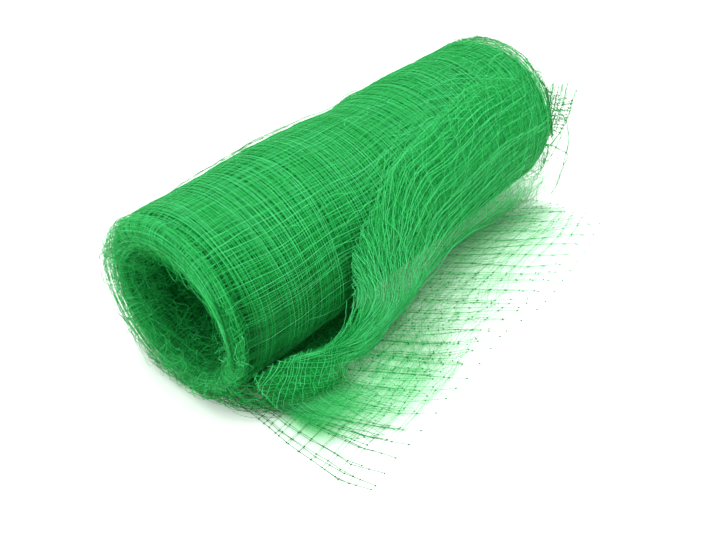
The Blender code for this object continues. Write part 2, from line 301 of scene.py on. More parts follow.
class Surface:
    """A smooth surface held at even rows and columns, and read between them."""

    def __init__(self, points, closed=False):
        self.points = points
        self.closed = closed
        self.last_row, self.last_column = np.array(points.shape[:2]) - 1.001
        across = np.roll(points, -1, 1) - np.roll(points, 1, 1) if closed else np.gradient(points, axis=1)
        self.outward = unit(np.cross(across, np.gradient(points, axis=0)))

    def at(self, row, column):
        """Points and outward directions at rows and columns that may fall between the held ones."""
        columns = self.points.shape[1]
        row = np.clip(row, 0.0, self.last_row)
        column = np.mod(column, columns) if self.closed else np.clip(column, 0.0, self.last_column)
        low_row = row.astype(int)
        low_column = column.astype(int) % columns
        high_column = (low_column + 1) % columns
        row_share = (row - low_row)[..., None]
        column_share = (column - np.floor(column))[..., None]
        found = []
        for held in (self.points, self.outward):
            near, far = (
                held[line, low_column] * (1 - column_share) + held[line, high_column] * column_share
                for line in (low_row, low_row + 1)
            )
            found.append(near * (1 - row_share) + far * row_share)
        return found[0], unit(found[1])

    def off(self, row, column, height):
        """The same, with the points lifted off the surface by so many millimetres."""
        points, outward = self.at(row, column)
        return points + outward * (np.asarray(height) * MM)[..., None], outward


class Wander:
    """A smooth random field over two measures, periodic in the second one if it is an angle."""

    def __init__(self, rng, lengths, turns, waves=14):
        self.first = math.tau / rng.uniform(*lengths, waves) * rng.choice((-1, 1), waves)
        self.second = rng.integers(-turns, turns + 1, waves)
        self.phase = rng.uniform(0.0, math.tau, waves)
        self.height = 1.0 / math.sqrt(0.5 * waves)

    def at(self, first, second):
        first = np.asarray(first, float)[..., None]
        second = np.asarray(second, float)[..., None]
        return self.height * np.sin(self.first * first + self.second * second + self.phase).sum(-1)


class Draw:
    """Random numbers for so many threads, one each, beside the steps along them."""

    def __init__(self, rng, count, steps):
        self.rng = rng
        self.shape = (count, 1)
        self.share = shares(steps)[None]

    def even(self, low, high):
        """Even between the limits."""
        return self.rng.uniform(low, high, self.shape)

    def normal(self, middle, width):
        """Most of them within a width of the middle."""
        return self.rng.normal(middle, width, self.shape)

    def odds(self):
        """Even between nothing and one."""
        return self.rng.random(self.shape)

    def wave(self, turns):
        """A wave with so many turns along each thread."""
        return np.sin(math.tau * turns * self.share + self.rng.uniform(0, 6, self.shape))


# ---- Meshes ----


class ThreadBundle:
    """Threads gathered for one piece, each a three-sided tube with closed ends."""

    TONE_STEP = 0.0012  # between the sides of one thread on the map

    def __init__(self, seed, sizes):
        self.rng = np.random.default_rng(seed)
        self.sizes = sizes
        self.empty()

    def empty(self):
        """Forgets the threads that it holds."""
        self.points = []
        self.places = []
        self.quads = []
        self.triangles = []
        self.count = 0

    def draws(self, count, steps):
        """Random numbers for new threads."""
        return Draw(self.rng, count, steps)

    def hold(self, points, places):
        """Keeps points and their places on the map, and says how they are numbered."""
        index = self.count + np.arange(points.size // 3).reshape(points.shape[:-1])
        self.count += index.size
        self.points.append(points.reshape(-1, 3))
        self.places.append(np.clip(places, 0.004, 0.996).reshape(-1, 2))
        return index

    def add(self, lines, aside, radius, tones, closed=False, run=0.3):
        """lines and aside are thread, point, xyz in metres. aside is any direction off the thread.

        tones has a value for each thread, or for each of its points.
        """
        threads, steps = lines.shape[:2]
        after = np.roll(lines, -1, 1)
        before = np.roll(lines, 1, 1)
        if not closed:
            after[:, -1] = lines[:, -1]
            before[:, 0] = lines[:, 0]
        along = unit(after - before)
        side = unit(np.cross(along, aside))[:, :, None]
        up = np.cross(side[:, :, 0], along)[:, :, None]
        turn = (math.tau * (np.arange(3) + 0.25) / 3.0)[:, None]
        radius = np.broadcast_to(np.asarray(radius, float), (threads, steps))[..., None, None]
        points = lines[:, :, None] + radius * (side * np.cos(turn) + up * np.sin(turn))

        share = 0.5 - 0.5 * np.cos(math.tau * np.arange(steps) / steps) if closed else shares(steps)
        start = self.rng.uniform(0.02, 0.98 - run, threads)
        place = np.empty((threads, steps, 3, 2))
        tones = np.asarray(tones).reshape(threads, -1, 1)
        place[..., 0] = np.clip(tones, 0.04, 0.97) + self.TONE_STEP * (np.arange(3) - 1)
        place[..., 1] = (start[:, None] + run * share)[:, :, None]

        index = self.hold(points, place)
        here = index if closed else index[:, :-1]
        there = np.roll(index, -1, 1) if closed else index[:, 1:]
        for corner in range(3):
            beside = (corner + 1) % 3
            faces = (here[..., corner], there[..., corner], there[..., beside], here[..., beside])
            self.quads.append(np.stack(faces, -1).reshape(-1, 4))
        if not closed:
            self.triangles += [index[:, 0], index[:, -1, ::-1]]

    def lay(self, form, station, angle, lift, radius, tones, run=0.3, lowest=LEAST_HEIGHT):
        """Adds threads on the wound form, lifted so many millimetres off its face."""
        points, outward = form.laid(station, angle, lift, lowest)
        self.add(points, outward, radius, tones, run=run)

    def add_knots(self, middles, radius, tones):
        """Small eight-sided knots at these points. radius and tones have a value for all, or for each."""
        middles = middles.reshape(-1, 3)
        count = len(middles)
        arms = np.array(((1, 0, 0), (-1, 0, 0), (0, 1, 0), (0, -1, 0), (0, 0, 1), (0, 0, -1)), float)
        place = np.empty((count, 6, 2))
        place[..., 0] = np.broadcast_to(tones, count)[:, None] + self.TONE_STEP * arms[:, 0]
        place[..., 1] = self.rng.uniform(0.05, 0.95, count)[:, None] + self.TONE_STEP * arms[:, 1]
        index = self.hold(middles[:, None] + np.broadcast_to(radius, count)[:, None, None] * arms, place)
        for x in (0, 1):
            for y in (2, 3):
                for z in (4, 5):
                    corners = (x, y, z) if (x + y + z) % 2 == 0 else (x, z, y)
                    self.triangles.append(index[:, corners])

    def piece(self, name, material):
        """The bundle as a piece, after which it is empty."""
        quads = np.concatenate(self.quads)
        triangles = np.concatenate(self.triangles + [np.empty((0, 3), int)])
        corners = np.concatenate((quads.ravel(), triangles.ravel()))
        starts = np.concatenate((4 * np.arange(len(quads)), 4 * len(quads) + 3 * np.arange(len(triangles))))
        maps = {THREAD_MAP: np.concatenate(self.places)}
        made = new_piece(name, np.concatenate(self.points), corners, starts, maps, material)
        self.empty()
        return made


def new_piece(name, points, corners, starts, maps, material):
    """A smooth mesh object from points, face corners, each face's first corner and maps by point."""
    mesh = bpy.data.meshes.new(name)
    mesh.vertices.add(len(points))
    mesh.vertices.foreach_set("co", np.ascontiguousarray(points, np.float32).ravel())
    mesh.loops.add(len(corners))
    mesh.loops.foreach_set("vertex_index", corners.astype(np.int32))
    mesh.polygons.add(len(starts))
    mesh.polygons.foreach_set("loop_start", starts.astype(np.int32))
    mesh.update(calc_edges=True)
    for map_name, places in maps.items():
        layer = mesh.uv_layers.new(name=map_name)
        placed = places if len(places) == len(corners) else places[corners]
        layer.uv.foreach_set("vector", np.ascontiguousarray(placed, np.float32).ravel())
    mesh.materials.append(material)
    mesh.shade_smooth()
    piece = bpy.data.objects.new(name, mesh)
    bpy.context.collection.objects.link(piece)
    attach(piece, BODY)
    return piece


def grid_faces(rows, columns, closed=False):
    """Corners of the four-sided faces between rows and columns of points."""
    index = np.arange(rows * columns).reshape(rows, columns)
    if closed:
        index = np.concatenate((index, index[:, :1]), 1)
    return np.stack((index[:-1, :-1], index[:-1, 1:], index[1:, 1:], index[1:, :-1]), -1).reshape(-1, 4)


def veil(name, surface, rows, columns, lift, counted, finish, begins=0.0):
    """A sheer sheet on a surface, lifted so many millimetres.

    One of its maps counts meshes, across from the column that each row begins at.
    """
    row = np.linspace(0.0, surface.last_row, rows)
    column = np.linspace(0.0, surface.last_column, columns)
    row, column = np.meshgrid(row, column, indexing="ij")
    points, _ = surface.off(row, column, lift(row, column))
    faces = grid_faces(rows, columns)
    place = np.stack(np.meshgrid(shares(rows), shares(columns), indexing="ij"), -1).reshape(-1, 2)
    meshes = place * counted
    meshes[:, 1] -= np.ravel(begins + 0.0 * row) * counted[1] / column.max()
    maps = {THREAD_MAP: 0.004 + 0.992 * place, NET_MAP: meshes}
    starts = 4 * np.arange(len(faces))
    return new_piece(name, points.reshape(-1, 3), faces.ravel(), starts, maps, finish)


# ---- The wound form ----


def body_ring(x, angles):
    """A ring round the body, flat where it rests on the floor."""
    low = smoothstep(0.2, 0.8, -np.sin(angles))
    lump = LUMP_HEIGHT * np.sin(3.0 * angles + 24.0 * x * MM) * (1.0 - low)
    radius = at_station(OUTLINE_X, OUTLINE_RADIUS, x) + lump
    radius = radius + (UNDERSIDE_RADIUS - radius) * low
    z = np.maximum(AXIS_HEIGHT + radius * np.sin(angles), 0.0)
    return np.stack((np.full_like(angles, x), radius * WIDENING * np.cos(angles), z), -1)


def end_ring(ring, angles):
    """A ring of a mouth or its lip."""
    x, centre_y, centre_z, half_width, half_height = ring
    y = centre_y + half_width * np.cos(angles)
    z = np.maximum(centre_z + half_height * np.sin(angles), 0.0)
    return np.stack((np.full_like(angles, x), y, z), -1)


class WoundForm(Surface):
    """The roll's outer face from inside the near mouth, over the body, into the far mouth."""

    def __init__(self):
        angles = math.tau * np.arange(ANGLE_STEPS) / ANGLE_STEPS
        count = round((BODY_END - BODY_START) / BODY_RING_STEP) + 1
        rings = [end_ring(ring, angles) for ring in NEAR_RINGS]
        rings += [body_ring(x, angles) for x in np.linspace(BODY_START, BODY_END, count)]
        rings += [end_ring(ring, angles) for ring in FAR_RINGS]
        finer = catmull_rom(rings, 6) * MM
        steps = np.linalg.norm(np.diff(finer, axis=0), axis=2).mean(1)
        lengths = np.concatenate(((0.0,), np.cumsum(steps)))
        self.length = lengths[-1] / MM
        places = np.arange(0.0, lengths[-1], STATION_STEP * MM)
        columns = finer.reshape(len(finer), -1)
        table = np.stack([np.interp(places, lengths, column) for column in columns.T], 1)
        super().__init__(table.reshape(len(places), ANGLE_STEPS, 3), closed=True)
        top = self.points[:, ANGLE_STEPS // 4, 0] / MM
        outside = self.points[:, ANGLE_STEPS // 4, 2] > LEAST_TOP * MM
        self.near_rim = STATION_STEP * int(np.argmin(top))
        self.far_rim = STATION_STEP * int(np.argmax(top))
        stations = STATION_STEP * np.arange(len(top))
        body = outside & (stations > self.near_rim) & (stations < self.far_rim)
        self.body_top = top[body]
        self.body_stations = stations[body]

    def station_of(self, x):
        """The station at x on the outside of the body."""
        return np.interp(x, self.body_top, self.body_stations)

    def laid(self, station, angle, lift, lowest=LEAST_HEIGHT):
        """Points and outward directions so many millimetres off the face, but none below the lowest."""
        points, outward = self.off(station / STATION_STEP, angle / math.tau * ANGLE_STEPS, lift)
        points[..., 2] = np.maximum(points[..., 2], lowest * MM)
        return points, outward


@functools.cache
def wound_form():
    """The wound form, made once."""
    return WoundForm()


def groove(form, station, angle):
    """How much deeper the net lies where the rolled lip meets the body, in millimetres."""
    middle = form.station_of(GROOVE_X) + 1.5 * np.sin(2.0 * angle + 1.0)
    return 4.4 * bell(station, middle, 3.0) * (0.35 + 0.65 * about(angle, 2.9, 0.9))


def open_rim(form, station, angle):
    """Where the outer turns stand off the close ones: round each end, on the side away from the flap."""
    near = bell(station, form.near_rim + 5.0, 19.0) * about(angle, -0.05, 0.95)
    far = bell(station, form.far_rim - 7.0, 13.0) * about(angle, 1.75, 0.85)
    return near, far


def thinned(form, station, angle):
    """How much deeper the close turns lie at the open rims, in millimetres."""
    near, far = open_rim(form, station, angle)
    return 6.8 * near + 5.1 * far


def shade(form, station, angle):
    """How much deeper a wound thread's tone is where less light gets in: painted shade in the mouths, the
    groove and the near flank on the flap's side, and a little painted light that makes the near end's top
    paler.
    """
    low_side = about(angle, -1.4, 1.2)
    inside = 1.0 - smoothstep(form.near_rim - 26.0, form.near_rim - 6.0 + 24.0 * low_side, station)
    inside = inside + smoothstep(form.far_rim + 8.0, form.far_rim + 26.0, station)
    in_groove = bell(station, form.station_of(GROOVE_X), 4.2)
    deep = inside * (0.15 + 0.25 * low_side) + 0.34 * in_groove * (0.35 + 0.65 * about(angle, 2.9, 0.9))
    near_part = 1.0 - smoothstep(form.station_of(-80.0), form.station_of(90.0), station)
    near_part = near_part * smoothstep(form.near_rim + 14.0, form.near_rim + 30.0, station)
    # Painted light: the near end's top is drawn a little paler.
    pale = 1.0 - smoothstep(form.near_rim + 20.0, form.near_rim + 100.0, station)
    return deep + 0.60 * about(angle, 3.15, 0.6) * near_part - 0.05 * pale * about(angle, 1.5, 0.9)


# ---- The loose end ----


def ripple(x, y):
    """Height of the low fan of folds in the laid net, in millimetres, as the solids have it."""
    strength = smoothstep(RIPPLE_STARTS, RIPPLE_FULL, -y)
    phase = (x + RIPPLE_SKEW * (y + RIPPLE_STARTS)) / RIPPLE_SPACING
    return RIPPLE_HEIGHT * strength * (0.5 - 0.5 * np.cos(math.tau * phase))


def bunched(points):
    """The laid net's outward threads, pulled together along its folds."""
    x, y = points[..., 0] / MM, points[..., 1] / MM
    share = smoothstep(-185.0, -130.0, x) * smoothstep(70.0, 100.0, -y)
    phase = math.tau * (x + BUNCH_SKEW * (y + 100.0)) / BUNCH_SPACING
    moved = points.copy()
    moved[..., 0] -= 0.9 * share * BUNCH_SPACING / math.tau * np.sin(phase) * MM
    return moved


def brim(row):
    """The column that the flap's threads begin at in a row."""
    return np.interp(row, BRIM_ROWS, BRIM_COLUMNS)


def hugging_reach(x):
    """How far from the axis the flap lies at x, over the roll's highest part nearby."""
    near = [at_station(OUTLINE_X, OUTLINE_RADIUS, x + step) for step in (-FLAP_BRIDGES, 0.0, FLAP_BRIDGES)]
    return max(near) + FLAP_STANDOFF


def flap_line(section):
    """The flap's section from its tucked edge to its foot, and its foot and cut edge."""
    ridge, bulge_place, (foot_x, foot_y, edge_x, edge_y) = section[:3], section[3:6], section[6:]
    points = []
    for share in (-TUCK_SHARE, *shares(9)):
        x, lean, reach = between(ridge, bulge_place, share)
        reach = max(reach - TUCK_DROP * (share < 0), hugging_reach(x))
        lean = math.radians(lean)
        points.append((x, -reach * math.sin(lean), AXIS_HEIGHT + reach * math.cos(lean)))
    bulge = np.array(points[-1])
    foot = np.array((foot_x, foot_y, FLAP_REST))
    for share, swell in ((0.35, 0.12), (0.7, 0.08)):
        point = bulge + (foot - bulge) * share
        point[1] -= swell * (bulge[2] - foot[2])
        points.append(point)
    points.append(foot)
    return np.array(points), foot, np.array((edge_x, edge_y, FLAP_REST))


def flap_surface():
    """The flap as rows along the roll and columns from its tucked edge, over the foot, to its cut edge."""
    rows = []
    for section in catmull_rom(FLAP_SECTIONS, 8):
        hanging, foot, edge = flap_line(section)
        hanging = smooth_line(hanging, 201)
        hang_length = np.linalg.norm(np.diff(hanging, axis=0), axis=1).sum()
        hang = resampled(hanging, max(round(hang_length), 2))
        lying = np.linspace(foot, edge, max(round(np.linalg.norm(edge - foot)), 2))
        line = np.concatenate((hang, lying[1:]))
        soft = line.copy()
        for index in range(len(line)):
            reach = min(FOLD_SOFTNESS, index, len(line) - 1 - index)
            soft[index] = line[index - reach : index + reach + 1].mean(0)
        soft[:, 2] = np.maximum(soft[:, 2], FLAP_REST + ripple(soft[:, 0], soft[:, 1]))
        down, out = soft[: len(hang)], soft[len(hang) - 1 :]
        rows.append(np.concatenate((resampled(down, HANG + 1), resampled(out, LYING + 1)[1:])))
    return Surface(np.array(rows) * MM)


def floor_surface():
    """The floor sheet as rows along the roll and columns from under the roll to the cut edge."""
    share, front, back = np.array(FLOOR_ENDS, float).T
    cut_share, cut_y = np.array(FLOOR_CUT, float).T
    along = shares(61)
    front = at_station(share, front, along)
    back = at_station(share, back, along)
    rows = []
    for across in shares(121):
        x = front + (back - front) * across
        y = FLOOR_INNER_Y + (at_station(cut_share, cut_y, across) - FLOOR_INNER_Y) * along
        rows.append(np.stack((x, y, 1.0 + ripple(x, y)), 1))
    return Surface(np.array(rows) * MM)


# ---- Finishes ----


def feed(tree, node, inputs):
    """Feeds a node's sockets from other sockets, or sets them. The sockets go by name or in order."""
    for socket, source in inputs.items() if isinstance(inputs, dict) else enumerate(inputs):
        if isinstance(source, bpy.types.NodeSocket):
            tree.links.new(source, node.inputs[socket])
        else:
            node.inputs[socket].default_value = source


def added(tree, kind, inputs=(), **settings):
    """A new shader node with these settings and inputs."""
    node = tree.nodes.new("ShaderNode" + kind)
    for name, value in settings.items():
        setattr(node, name, value)
    feed(tree, node, inputs)
    return node


def maths(tree, operation, *terms, clamp=False):
    """A number worked out from others."""
    return added(tree, "Math", terms, operation=operation, use_clamp=clamp).outputs[0]


def vector_maths(tree, operation, *terms):
    """A vector worked out from others."""
    return added(tree, "VectorMath", terms, operation=operation).outputs[0]


def split(tree, vector):
    """A vector's parts, by the names of their axes."""
    return added(tree, "SeparateXYZ", (vector,)).outputs


def mapped(tree, name):
    """A place on one of the meshes' maps."""
    return added(tree, "UVMap", uv_map=name).outputs["UV"]


def solid(colour, factor=1.0):
    """A plain colour, made so many times as bright, with its alpha."""
    return (*(factor * part for part in colour), 1.0)


def blended(tree, share, first, second):
    """A colour between two others."""
    inputs = {"Factor": share, "A": first, "B": second}
    return added(tree, "Mix", inputs, data_type="RGBA").outputs["Result"]


def noise(tree, vector, scale, detail, output="Fac"):
    """Soft random patches."""
    return added(tree, "TexNoise", {"Vector": vector, "Scale": scale, "Detail": detail}).outputs[output]


def stretched_noise(tree, vector, stretch, detail):
    """Noise that is finer along some axes than along others."""
    return noise(tree, vector_maths(tree, "MULTIPLY", vector, stretch), 1.0, detail)


def ranged(tree, value, low, high, to_low=0.0, to_high=1.0):
    """A value brought from one range to another, with smooth ends."""
    inputs = (value, low, high, to_low, to_high)
    return added(tree, "MapRange", inputs, interpolation_type="SMOOTHSTEP").outputs[0]


def new_group(name, inputs, outputs):
    """A shader node group with these sockets, the outputs of its input node, and its output node."""
    group = bpy.data.node_groups.new(name, "ShaderNodeTree")
    for socket, (kind, default) in inputs.items():
        made = group.interface.new_socket(socket, in_out="INPUT", socket_type="NodeSocket" + kind)
        if default is not None:
            made.default_value = default
    for socket, kind in outputs.items():
        group.interface.new_socket(socket, in_out="OUTPUT", socket_type="NodeSocket" + kind)
    return group, group.nodes.new("NodeGroupInput").outputs, group.nodes.new("NodeGroupOutput")


def thread_tone_group():
    """Colour and roughness of a drawn plastic thread, by its tone and the way along it."""
    if "Thread tone" in bpy.data.node_groups:
        return bpy.data.node_groups["Thread tone"]
    inputs = {
        "Vector": ("Vector", None),
        "Deep Colour": ("Color", None),
        "Thread Colour": ("Color", None),
        "Light Colour": ("Color", None),
        "Unevenness": ("Float", 0.3),
        "Roughness": ("Float", 0.4),
    }
    group, given, result = new_group("Thread tone", inputs, {"Colour": "Color", "Roughness": "Float"})
    grain = stretched_noise(group, given["Vector"], (34.0, 52.0, 1.0), 3.0)
    swing = maths(group, "MULTIPLY", maths(group, "SUBTRACT", grain, 0.5), given["Unevenness"])
    tone = maths(group, "ADD", split(group, given["Vector"])["X"], swing)
    lower = maths(group, "MULTIPLY", tone, 2.0, clamp=True)
    upper = maths(group, "MULTIPLY_ADD", tone, 2.0, -1.0, clamp=True)
    colour = blended(group, lower, given["Deep Colour"], given["Thread Colour"])
    colour = blended(group, upper, colour, given["Light Colour"])
    smoothest = maths(group, "SUBTRACT", given["Roughness"], 0.12)
    rough = maths(group, "MULTIPLY_ADD", grain, 0.25, smoothest)
    feed(group, result, {"Colour": colour, "Roughness": rough})
    return group


def net_weave_group():
    """Threads and knots of a square net, on a vector that counts meshes."""
    if "Net weave" in bpy.data.node_groups:
        return bpy.data.node_groups["Net weave"]
    inputs = {
        "Vector": ("Vector", None),
        "Shift": ("Vector", None),
        "Thread Share": ("Float", 0.05),
        "Wander": ("Float", 0.2),
    }
    group, given, result = new_group("Net weave", inputs, {"Thread": "Float", "Height": "Float"})
    moved = vector_maths(group, "ADD", given["Vector"], given["Shift"])
    drift = vector_maths(group, "SUBTRACT", noise(group, moved, 0.7, 3.0, "Color"), (0.5, 0.5, 0.5))
    drift = added(group, "VectorMath", {0: drift, "Scale": given["Wander"]}, operation="SCALE").outputs[0]
    place = split(group, vector_maths(group, "ADD", moved, drift))
    wide = maths(group, "MULTIPLY", given["Thread Share"], 1.5)
    lines = []
    blots = []
    for axis in ("X", "Y"):
        beside = maths(group, "SUBTRACT", maths(group, "FRACT", place[axis]), 0.5)
        away = maths(group, "SUBTRACT", 0.5, maths(group, "ABSOLUTE", beside))
        lines.append(ranged(group, away, 0.0, wide, 1.0, 0.0))
        blots.append(ranged(group, away, 0.0, maths(group, "MULTIPLY", wide, 1.6), 1.0, 0.0))
    thread = maths(group, "MAXIMUM", *lines)
    height = maths(group, "MULTIPLY_ADD", maths(group, "MULTIPLY", *blots), 0.6, thread)
    feed(group, result, {"Thread": thread, "Height": height})
    return group


def weave(tree, place, shift, thread_share, wander):
    """The outputs of one net of the weave."""
    inputs = {"Vector": place, "Shift": shift, "Thread Share": thread_share, "Wander": wander}
    return added(tree, "Group", inputs, node_tree=net_weave_group()).outputs


def new_finish(name):
    """A new material, its node tree and its shader."""
    material = bpy.data.materials.new(name)
    material.use_nodes = True
    return material, material.node_tree, material.node_tree.nodes["Principled BSDF"]


def thread_finish(name, colours, unevenness=0.3, roughness=0.4):
    """Drawn polythene thread: a sheen on a colour that is deeper or paler from thread to thread."""
    if name in bpy.data.materials:
        return bpy.data.materials[name]
    material, tree, shader = new_finish(name)
    inputs = {
        "Vector": mapped(tree, THREAD_MAP),
        "Deep Colour": solid(colours.deep),
        "Thread Colour": solid(colours.thread),
        "Light Colour": solid(colours.light),
        "Unevenness": unevenness,
        "Roughness": roughness,
    }
    tone = added(tree, "Group", inputs, node_tree=thread_tone_group()).outputs
    looks = {"Base Color": tone["Colour"], "Roughness": tone["Roughness"], "Specular IOR Level": 0.14}
    feed(tree, shader, looks)
    return material


def packed_finish(colours):
    """Turns packed under the ones that show: net behind net, with painted shade that makes it darker the
    deeper it lies.
    """
    material, tree, shader = new_finish("packed_net")
    place = mapped(tree, NET_MAP)
    behind = weave(tree, place, (0.37, 0.61, 0.0), 0.16, 0.8)
    middle = weave(tree, place, (0.11, 0.28, 3.0), 0.11, 0.6)
    front = weave(tree, place, (0.71, 0.83, 7.0), 0.07, 0.5)
    grain = stretched_noise(tree, place, (3.0, 9.0, 1.0), 4.0)
    colour = blended(tree, ranged(tree, grain, 0.25, 0.75), solid(colours.deep, 0.5), solid(colours.deep))
    colour = blended(tree, behind["Thread"], colour, solid(colours.deep, 1.2))
    colour = blended(tree, middle["Thread"], colour, solid(colours.thread, 0.38))
    colour = blended(tree, front["Thread"], colour, solid(colours.thread, 0.60))
    height = maths(tree, "ADD", front["Height"], maths(tree, "MULTIPLY", middle["Height"], 0.6))
    height = maths(tree, "MULTIPLY_ADD", behind["Height"], 0.3, height)
    bump = added(tree, "Bump", {"Strength": 0.8, "Distance": 0.0012, "Height": height}).outputs[0]
    rough = ranged(tree, grain, 0.2, 0.8, 0.42, 0.7)
    looks = {"Base Color": colour, "Roughness": rough, "Normal": bump, "Specular IOR Level": 0.05}
    feed(tree, shader, looks)
    return material


def veil_finish(name, tints, haze, thread_share, hazy_from, layers_and_painted_shade):
    """A sheer finish of the finest threads: clear but for its threads and a haze between them.

    hazy_from says where the haze comes in and goes out, as ranges of the map that counts meshes.
    The last argument says where more layers lie under it, or where a dark tint is painted shade: sets of
    such ranges, with the opacity and tint there.
    """
    material, tree, shader = new_finish(name)
    place = mapped(tree, NET_MAP)
    meshes = split(tree, place)
    first = weave(tree, place, (0.2, 0.4, 0.0), thread_share, 0.5)
    second = weave(tree, place, (0.65, 0.9, 5.0), thread_share, 0.9)
    grain = stretched_noise(tree, place, (1.2, 5.0, 1.0), 4.0)
    thread = maths(tree, "MAXIMUM", first["Thread"], second["Thread"])
    patchy = ranged(tree, grain, 0.25, 0.75, 0.6 * haze, 1.4 * haze)
    colour = blended(tree, ranged(tree, grain, 0.3, 0.8), solid(tints[0]), solid(tints[1]))
    for ranges, opacity, tint in layers_and_painted_shade:
        in_ranges = 1.0
        for axis, low, high in ranges:
            in_ranges = maths(tree, "MULTIPLY", in_ranges, ranged(tree, meshes[axis], low, high))
        patchy = maths(tree, "MAXIMUM", patchy, maths(tree, "MULTIPLY", in_ranges, opacity))
        colour = blended(tree, in_ranges, colour, solid(tint))
    seen = maths(tree, "MULTIPLY", thread, 0.75)
    for axis, low, high in hazy_from:
        inside = ranged(tree, meshes[axis], low, high)
        patchy = maths(tree, "MULTIPLY", patchy, inside)
        seen = maths(tree, "MULTIPLY", seen, inside)
    looks = {
        "Base Color": blended(tree, thread, colour, solid(tints[1])),
        "Alpha": maths(tree, "MAXIMUM", patchy, seen, clamp=True),
        "Roughness": ranged(tree, grain, 0.2, 0.8, 0.35, 0.6),
        "Specular IOR Level": 0.05,
    }
    feed(tree, shader, looks)
    return material


def floor_finish(colour):
    """A plain pale floor, a little brighter than the light on it makes it."""
    material, tree, shader = new_finish("studio_floor")
    grain = noise(tree, added(tree, "TexCoord").outputs["Object"], 3.0, 2.0)
    paler = tuple(min(1.02 * part, 1.0) for part in colour)
    looks = {
        "Base Color": blended(tree, grain, solid(colour), solid(paler)),
        "Roughness": 0.9,
        "Specular IOR Level": 0.1,
        # The glow lifts the floor's shadows. Its green tint, with the faint green of the floor's colour, is
        # painted light for light passed through the green net.
        "Emission Color": (0.9, 1.0, 0.92, 1.0),
        "Emission Strength": 0.25,
    }
    feed(tree, shader, looks)
    return material


# ---- Settings ----


class NettingSizes(bpy.types.PropertyGroup):
    """Sizes of the net, its threads and its turns"""

    mesh_pitch: bpy.props.FloatProperty(
        name="Mesh pitch", description="From knot to knot", default=0.015, unit="LENGTH"
    )
    drawn_together: bpy.props.FloatProperty(
        name="Drawn together", description="Share of its width that the net keeps on the roll", default=0.6
    )
    wound_thickness: bpy.props.FloatProperty(
        name="Wound thread", description="Thickness of a thread on the roll", default=0.00046, unit="LENGTH"
    )
    loose_thickness: bpy.props.FloatProperty(
        name="Loose thread",
        description="Thickness of a thread in the loose end",
        default=0.00046,
        unit="LENGTH",
    )
    fine_thickness: bpy.props.FloatProperty(
        name="Fine thread",
        description="Thickness of a cross thread on the floor",
        default=0.00028,
        unit="LENGTH",
    )
    knot_size: bpy.props.FloatProperty(
        name="Knot", description="Width of a knot in the loose end", default=0.0015, unit="LENGTH"
    )
    turn_depth: bpy.props.FloatProperty(
        name="Turn depth", description="From one turn to the next", default=0.00032, unit="LENGTH"
    )
    bed_depth: bpy.props.FloatProperty(
        name="Bed depth",
        description="Of the packed turns under the outer face",
        default=0.0066,
        unit="LENGTH",
    )
    tangle_threads: bpy.props.IntProperty(
        name="Tangle threads", description="Curled threads inside the near mouth", default=250
    )


class NettingColours(bpy.types.PropertyGroup):
    """Colours of the threads"""

    deep: bpy.props.FloatVectorProperty(
        name="Deep colour", description="Shaded threads", subtype="COLOR", default=(0.003, 0.14, 0.022)
    )
    thread: bpy.props.FloatVectorProperty(
        name="Thread colour", description="Most threads", subtype="COLOR", default=(0.016, 0.54, 0.092)
    )
    light: bpy.props.FloatVectorProperty(
        name="Light colour", description="The palest threads", subtype="COLOR", default=(0.10, 0.83, 0.28)
    )


class StageSettings(bpy.types.PropertyGroup):
    """The camera, the light and the floor"""

    lens: bpy.props.FloatProperty(name="Lens", description="Focal length in millimetres", default=43.48)
    key_power: bpy.props.FloatProperty(
        name="Key light", description="Power of the large overhead light", default=37.0, unit="POWER"
    )
    world_strength: bpy.props.FloatProperty(
        name="Surround", description="Strength of the white surround", default=0.80
    )
    floor_colour: bpy.props.FloatVectorProperty(
        name="Floor", description="Colour of the floor", subtype="COLOR", default=(0.90, 0.93, 0.905)
    )


# ---- The turns on the roll ----


def pack(form, sizes, colours):
    """The bed of packed turns: one closed skin with low ribs round it and soft dents."""
    relief = Wander(np.random.default_rng(SEEDS["bed"]), RELIEF_LENGTHS, 5)
    rows, columns = 250, 110
    station = np.linspace(2.0, form.length - 2.0, rows)[:, None]
    angle = math.tau * np.arange(columns)[None] / columns
    station, angle = np.broadcast_arrays(station, angle)
    in_mouth = 1.0 - smoothstep(form.near_rim - 30.0, form.near_rim, station)
    in_mouth = in_mouth + smoothstep(form.far_rim, form.far_rim + 30.0, station)
    rib = np.cos(math.tau * (station - form.station_of(0.0)) / (sizes.mesh_pitch / MM) + angle)
    depth = sizes.bed_depth / MM * (1.0 - 0.55 * in_mouth)
    depth = depth + 0.7 * relief.at(station, angle) - 0.4 * rib
    depth = depth + 0.6 * groove(form, station, angle) + 0.8 * thinned(form, station, angle)
    points, _ = form.laid(station, angle, -depth)

    faces = grid_faces(rows, columns, closed=True)
    near_cap = np.arange(columns)[::-1]
    far_cap = np.arange(columns) + (rows - 1) * columns
    corners = np.concatenate((faces.ravel(), near_cap, far_cap))
    starts = np.concatenate((4 * np.arange(len(faces)), (4 * len(faces), 4 * len(faces) + columns)))
    # On the maps the skin is cut open along one side, so a row has one place more than it has points.
    across = np.arange(columns + 1)[None] / columns
    flat = np.stack(np.broadcast_arrays(across, np.arange(rows)[:, None] / (rows - 1)), -1).reshape(-1, 2)
    placed = flat[grid_faces(rows, columns + 1).ravel()]
    placed = np.concatenate((placed, np.full((2 * columns, 2), 0.5)))
    counted = placed * (ROLL_GIRTH / PACKED_MESH, form.length / PACKED_MESH)
    maps = {THREAD_MAP: 0.004 + 0.992 * placed, NET_MAP: counted}
    return new_piece("packed_turns", points.reshape(-1, 3), corners, starts, maps, packed_finish(colours))


